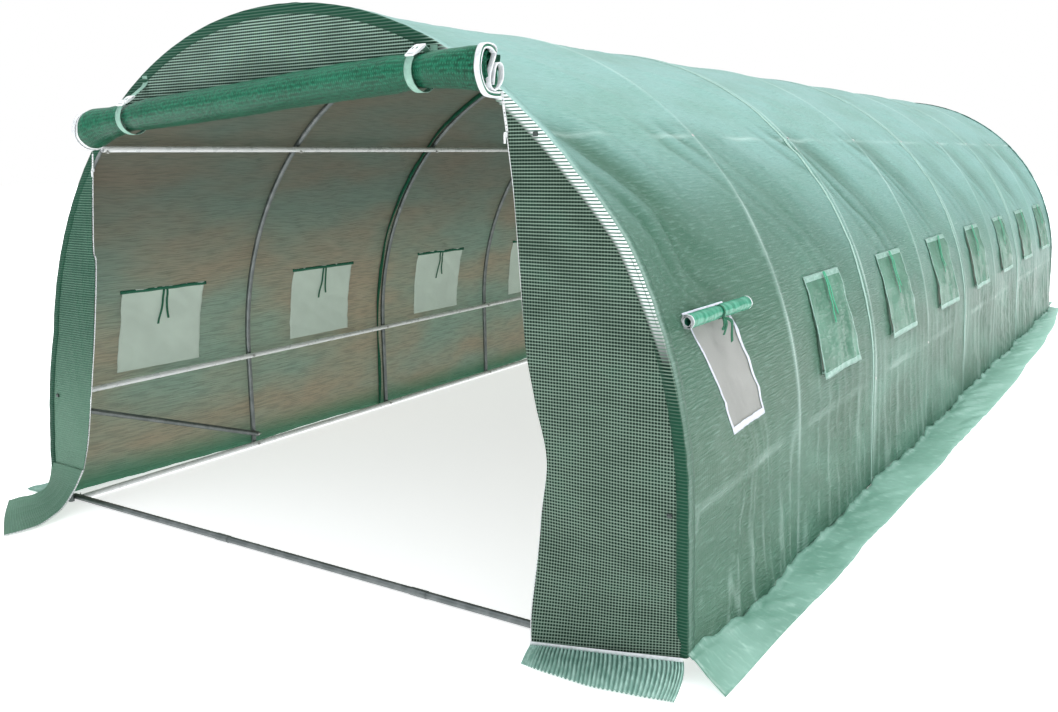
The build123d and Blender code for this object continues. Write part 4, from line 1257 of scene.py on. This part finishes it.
def make_bolt_heads():
    """The heads of the front hoop's bolts, which press through the wall."""
    middle, diagonally = END_R - TUBE_R, math.sqrt(0.5)
    spots = [(middle * diagonally, LEG + middle * diagonally), (middle, MID_RAIL_Z)]
    for name, side in SIDES.items():
        places = [(side * x, FRONT_Y - 0.004, z) for x, z in spots]
        heads = [block((0.016, 0.007, 0.013), place, DARK_ZINC, 0.002) for place in places]
        finish_piece(join(f"front_bolt_heads_{name}", heads), "root", "zinc_fastener")


def make_sliders():
    """Zip sliders in the place of their plain CAD blocks: body, waist, bridge and a pull with its grip."""
    for place, outward in (("front", -1), ("rear", 1)):
        for name in SIDES:
            node_name = f"{place}_zip_slider_{name}"
            low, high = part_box(node_name)
            x = (low.x + high.x) / 2
            body_y = low.y + 0.0045 if outward > 0 else high.y - 0.0045
            pull_y = high.y - 0.001 if outward > 0 else low.y + 0.001
            parts = [
                block(size, (x, y, high.z - down), WHITE_PLASTIC, rounding) for size, y, down, rounding in (
                    ((0.012, 0.007, 0.014), body_y, 0.007, 0.0022),
                    ((0.007, 0.0075, 0.0145), body_y, 0.007, 0.0012),
                    ((0.004, 0.0035, 0.010), body_y + outward * 0.0035, 0.007, 0.001),
                    ((0.008, 0.002, 0.024), pull_y, 0.021, 0.0008),
                    ((0.006, 0.0026, 0.010), pull_y, 0.026, 0.0006),
                )
            ]
            piece = join(f"{node_name}_piece", parts)
            finish_piece(piece, f"{place}_zip_{name}_body", "zip_plastic", node_name)


# ---------------------------------------------------------------- camera, floor and light


def make_camera():
    """The photograph's viewing angle: at chest height in front of the right corner, looking in."""
    yaw, pitch, roll = math.radians(31.479), math.radians(8.529), math.radians(-0.549)
    forward = Vector((-math.sin(yaw) * math.cos(pitch), math.cos(yaw) * math.cos(pitch), -math.sin(pitch)))
    level = Vector((math.cos(yaw), math.sin(yaw), 0))
    upright = level.cross(forward)
    right = level * math.cos(roll) + upright * math.sin(roll)
    up = -level * math.sin(roll) + upright * math.cos(roll)
    data = bpy.data.cameras.new("camera")
    data.lens, data.sensor_width = 34.13, 36.0
    data.shift_x, data.shift_y = -0.0551, -0.0459
    camera = add_object("camera", data)
    turned = Matrix((right, up, -forward)).transposed().to_4x4()
    camera.matrix_world = Matrix.Translation((2.679, -6.424, 1.473)) @ turned
    bpy.context.scene.camera = camera


def make_floor():
    """A wide pale floor just under the object."""
    size, level = 60.0, -0.0006
    corners = [(-size, -size, level), (size, -size, level), (size, size, level), (-size, size, level)]
    make_mesh("floor", corners, [(0, 1, 2, 3)], [floor_paint()], corners)


def make_light():
    """A white room, brighter overhead, and one broad soft lamp from the upper right."""
    bpy.context.scene.world = bpy.data.worlds.new("studio")
    room = Nodes(bpy.context.scene.world)
    up = room.add("SeparateXYZ", {"Vector": room.add("TexCoord")["Generated"]})["Z"]
    rise = {"Value": up, "From Min": 0, "From Max": 0.8, "To Min": 0.42, "To Max": 1.15}
    level = room.add("MapRange", rise)[0]
    light = room.add("Background", {"Color": (0.93, 0.97, 1), "Strength": level})[0]
    plain = room.add("Background", {"Color": (1, 1, 1), "Strength": 1.0})[0]
    seen = room.add("LightPath")["Is Camera Ray"]
    room.add("OutputWorld", {"Surface": room.add("MixShader", {0: seen, 1: light, 2: plain})[0]})
    lamp = bpy.data.lights.new("key", "SUN")
    lamp.energy, lamp.angle = 2.3, math.radians(40)
    add_object("key", lamp).rotation_euler = (math.radians(-15), math.radians(20), 0)
    bpy.context.scene.view_settings.view_transform = "Standard"


make_camera()
make_floor()
make_light()
dress_frame()
make_cover()
make_seams()
make_binding("front_binding", FRONT_Y, -1)
make_binding("rear_binding", REAR_Y, 1)
side_wall("front_wall_right", 1, RIGHT_ZIP, 61)
side_wall("front_wall_left", -1, LEFT_ZIP, 65)
top_wall()
front_zips()
rear_end()
make_roll()
make_curtain()
make_straps()
for window_side in SIDES:
    for window_number, window_y in enumerate(WINDOW_YS, start=1):
        make_window(window_side, window_number, window_y)
side_skirt("right")
side_skirt("left")
front_skirt_right()
front_skirt_left()
rear_skirt()
make_sliders()
make_bolt_heads()
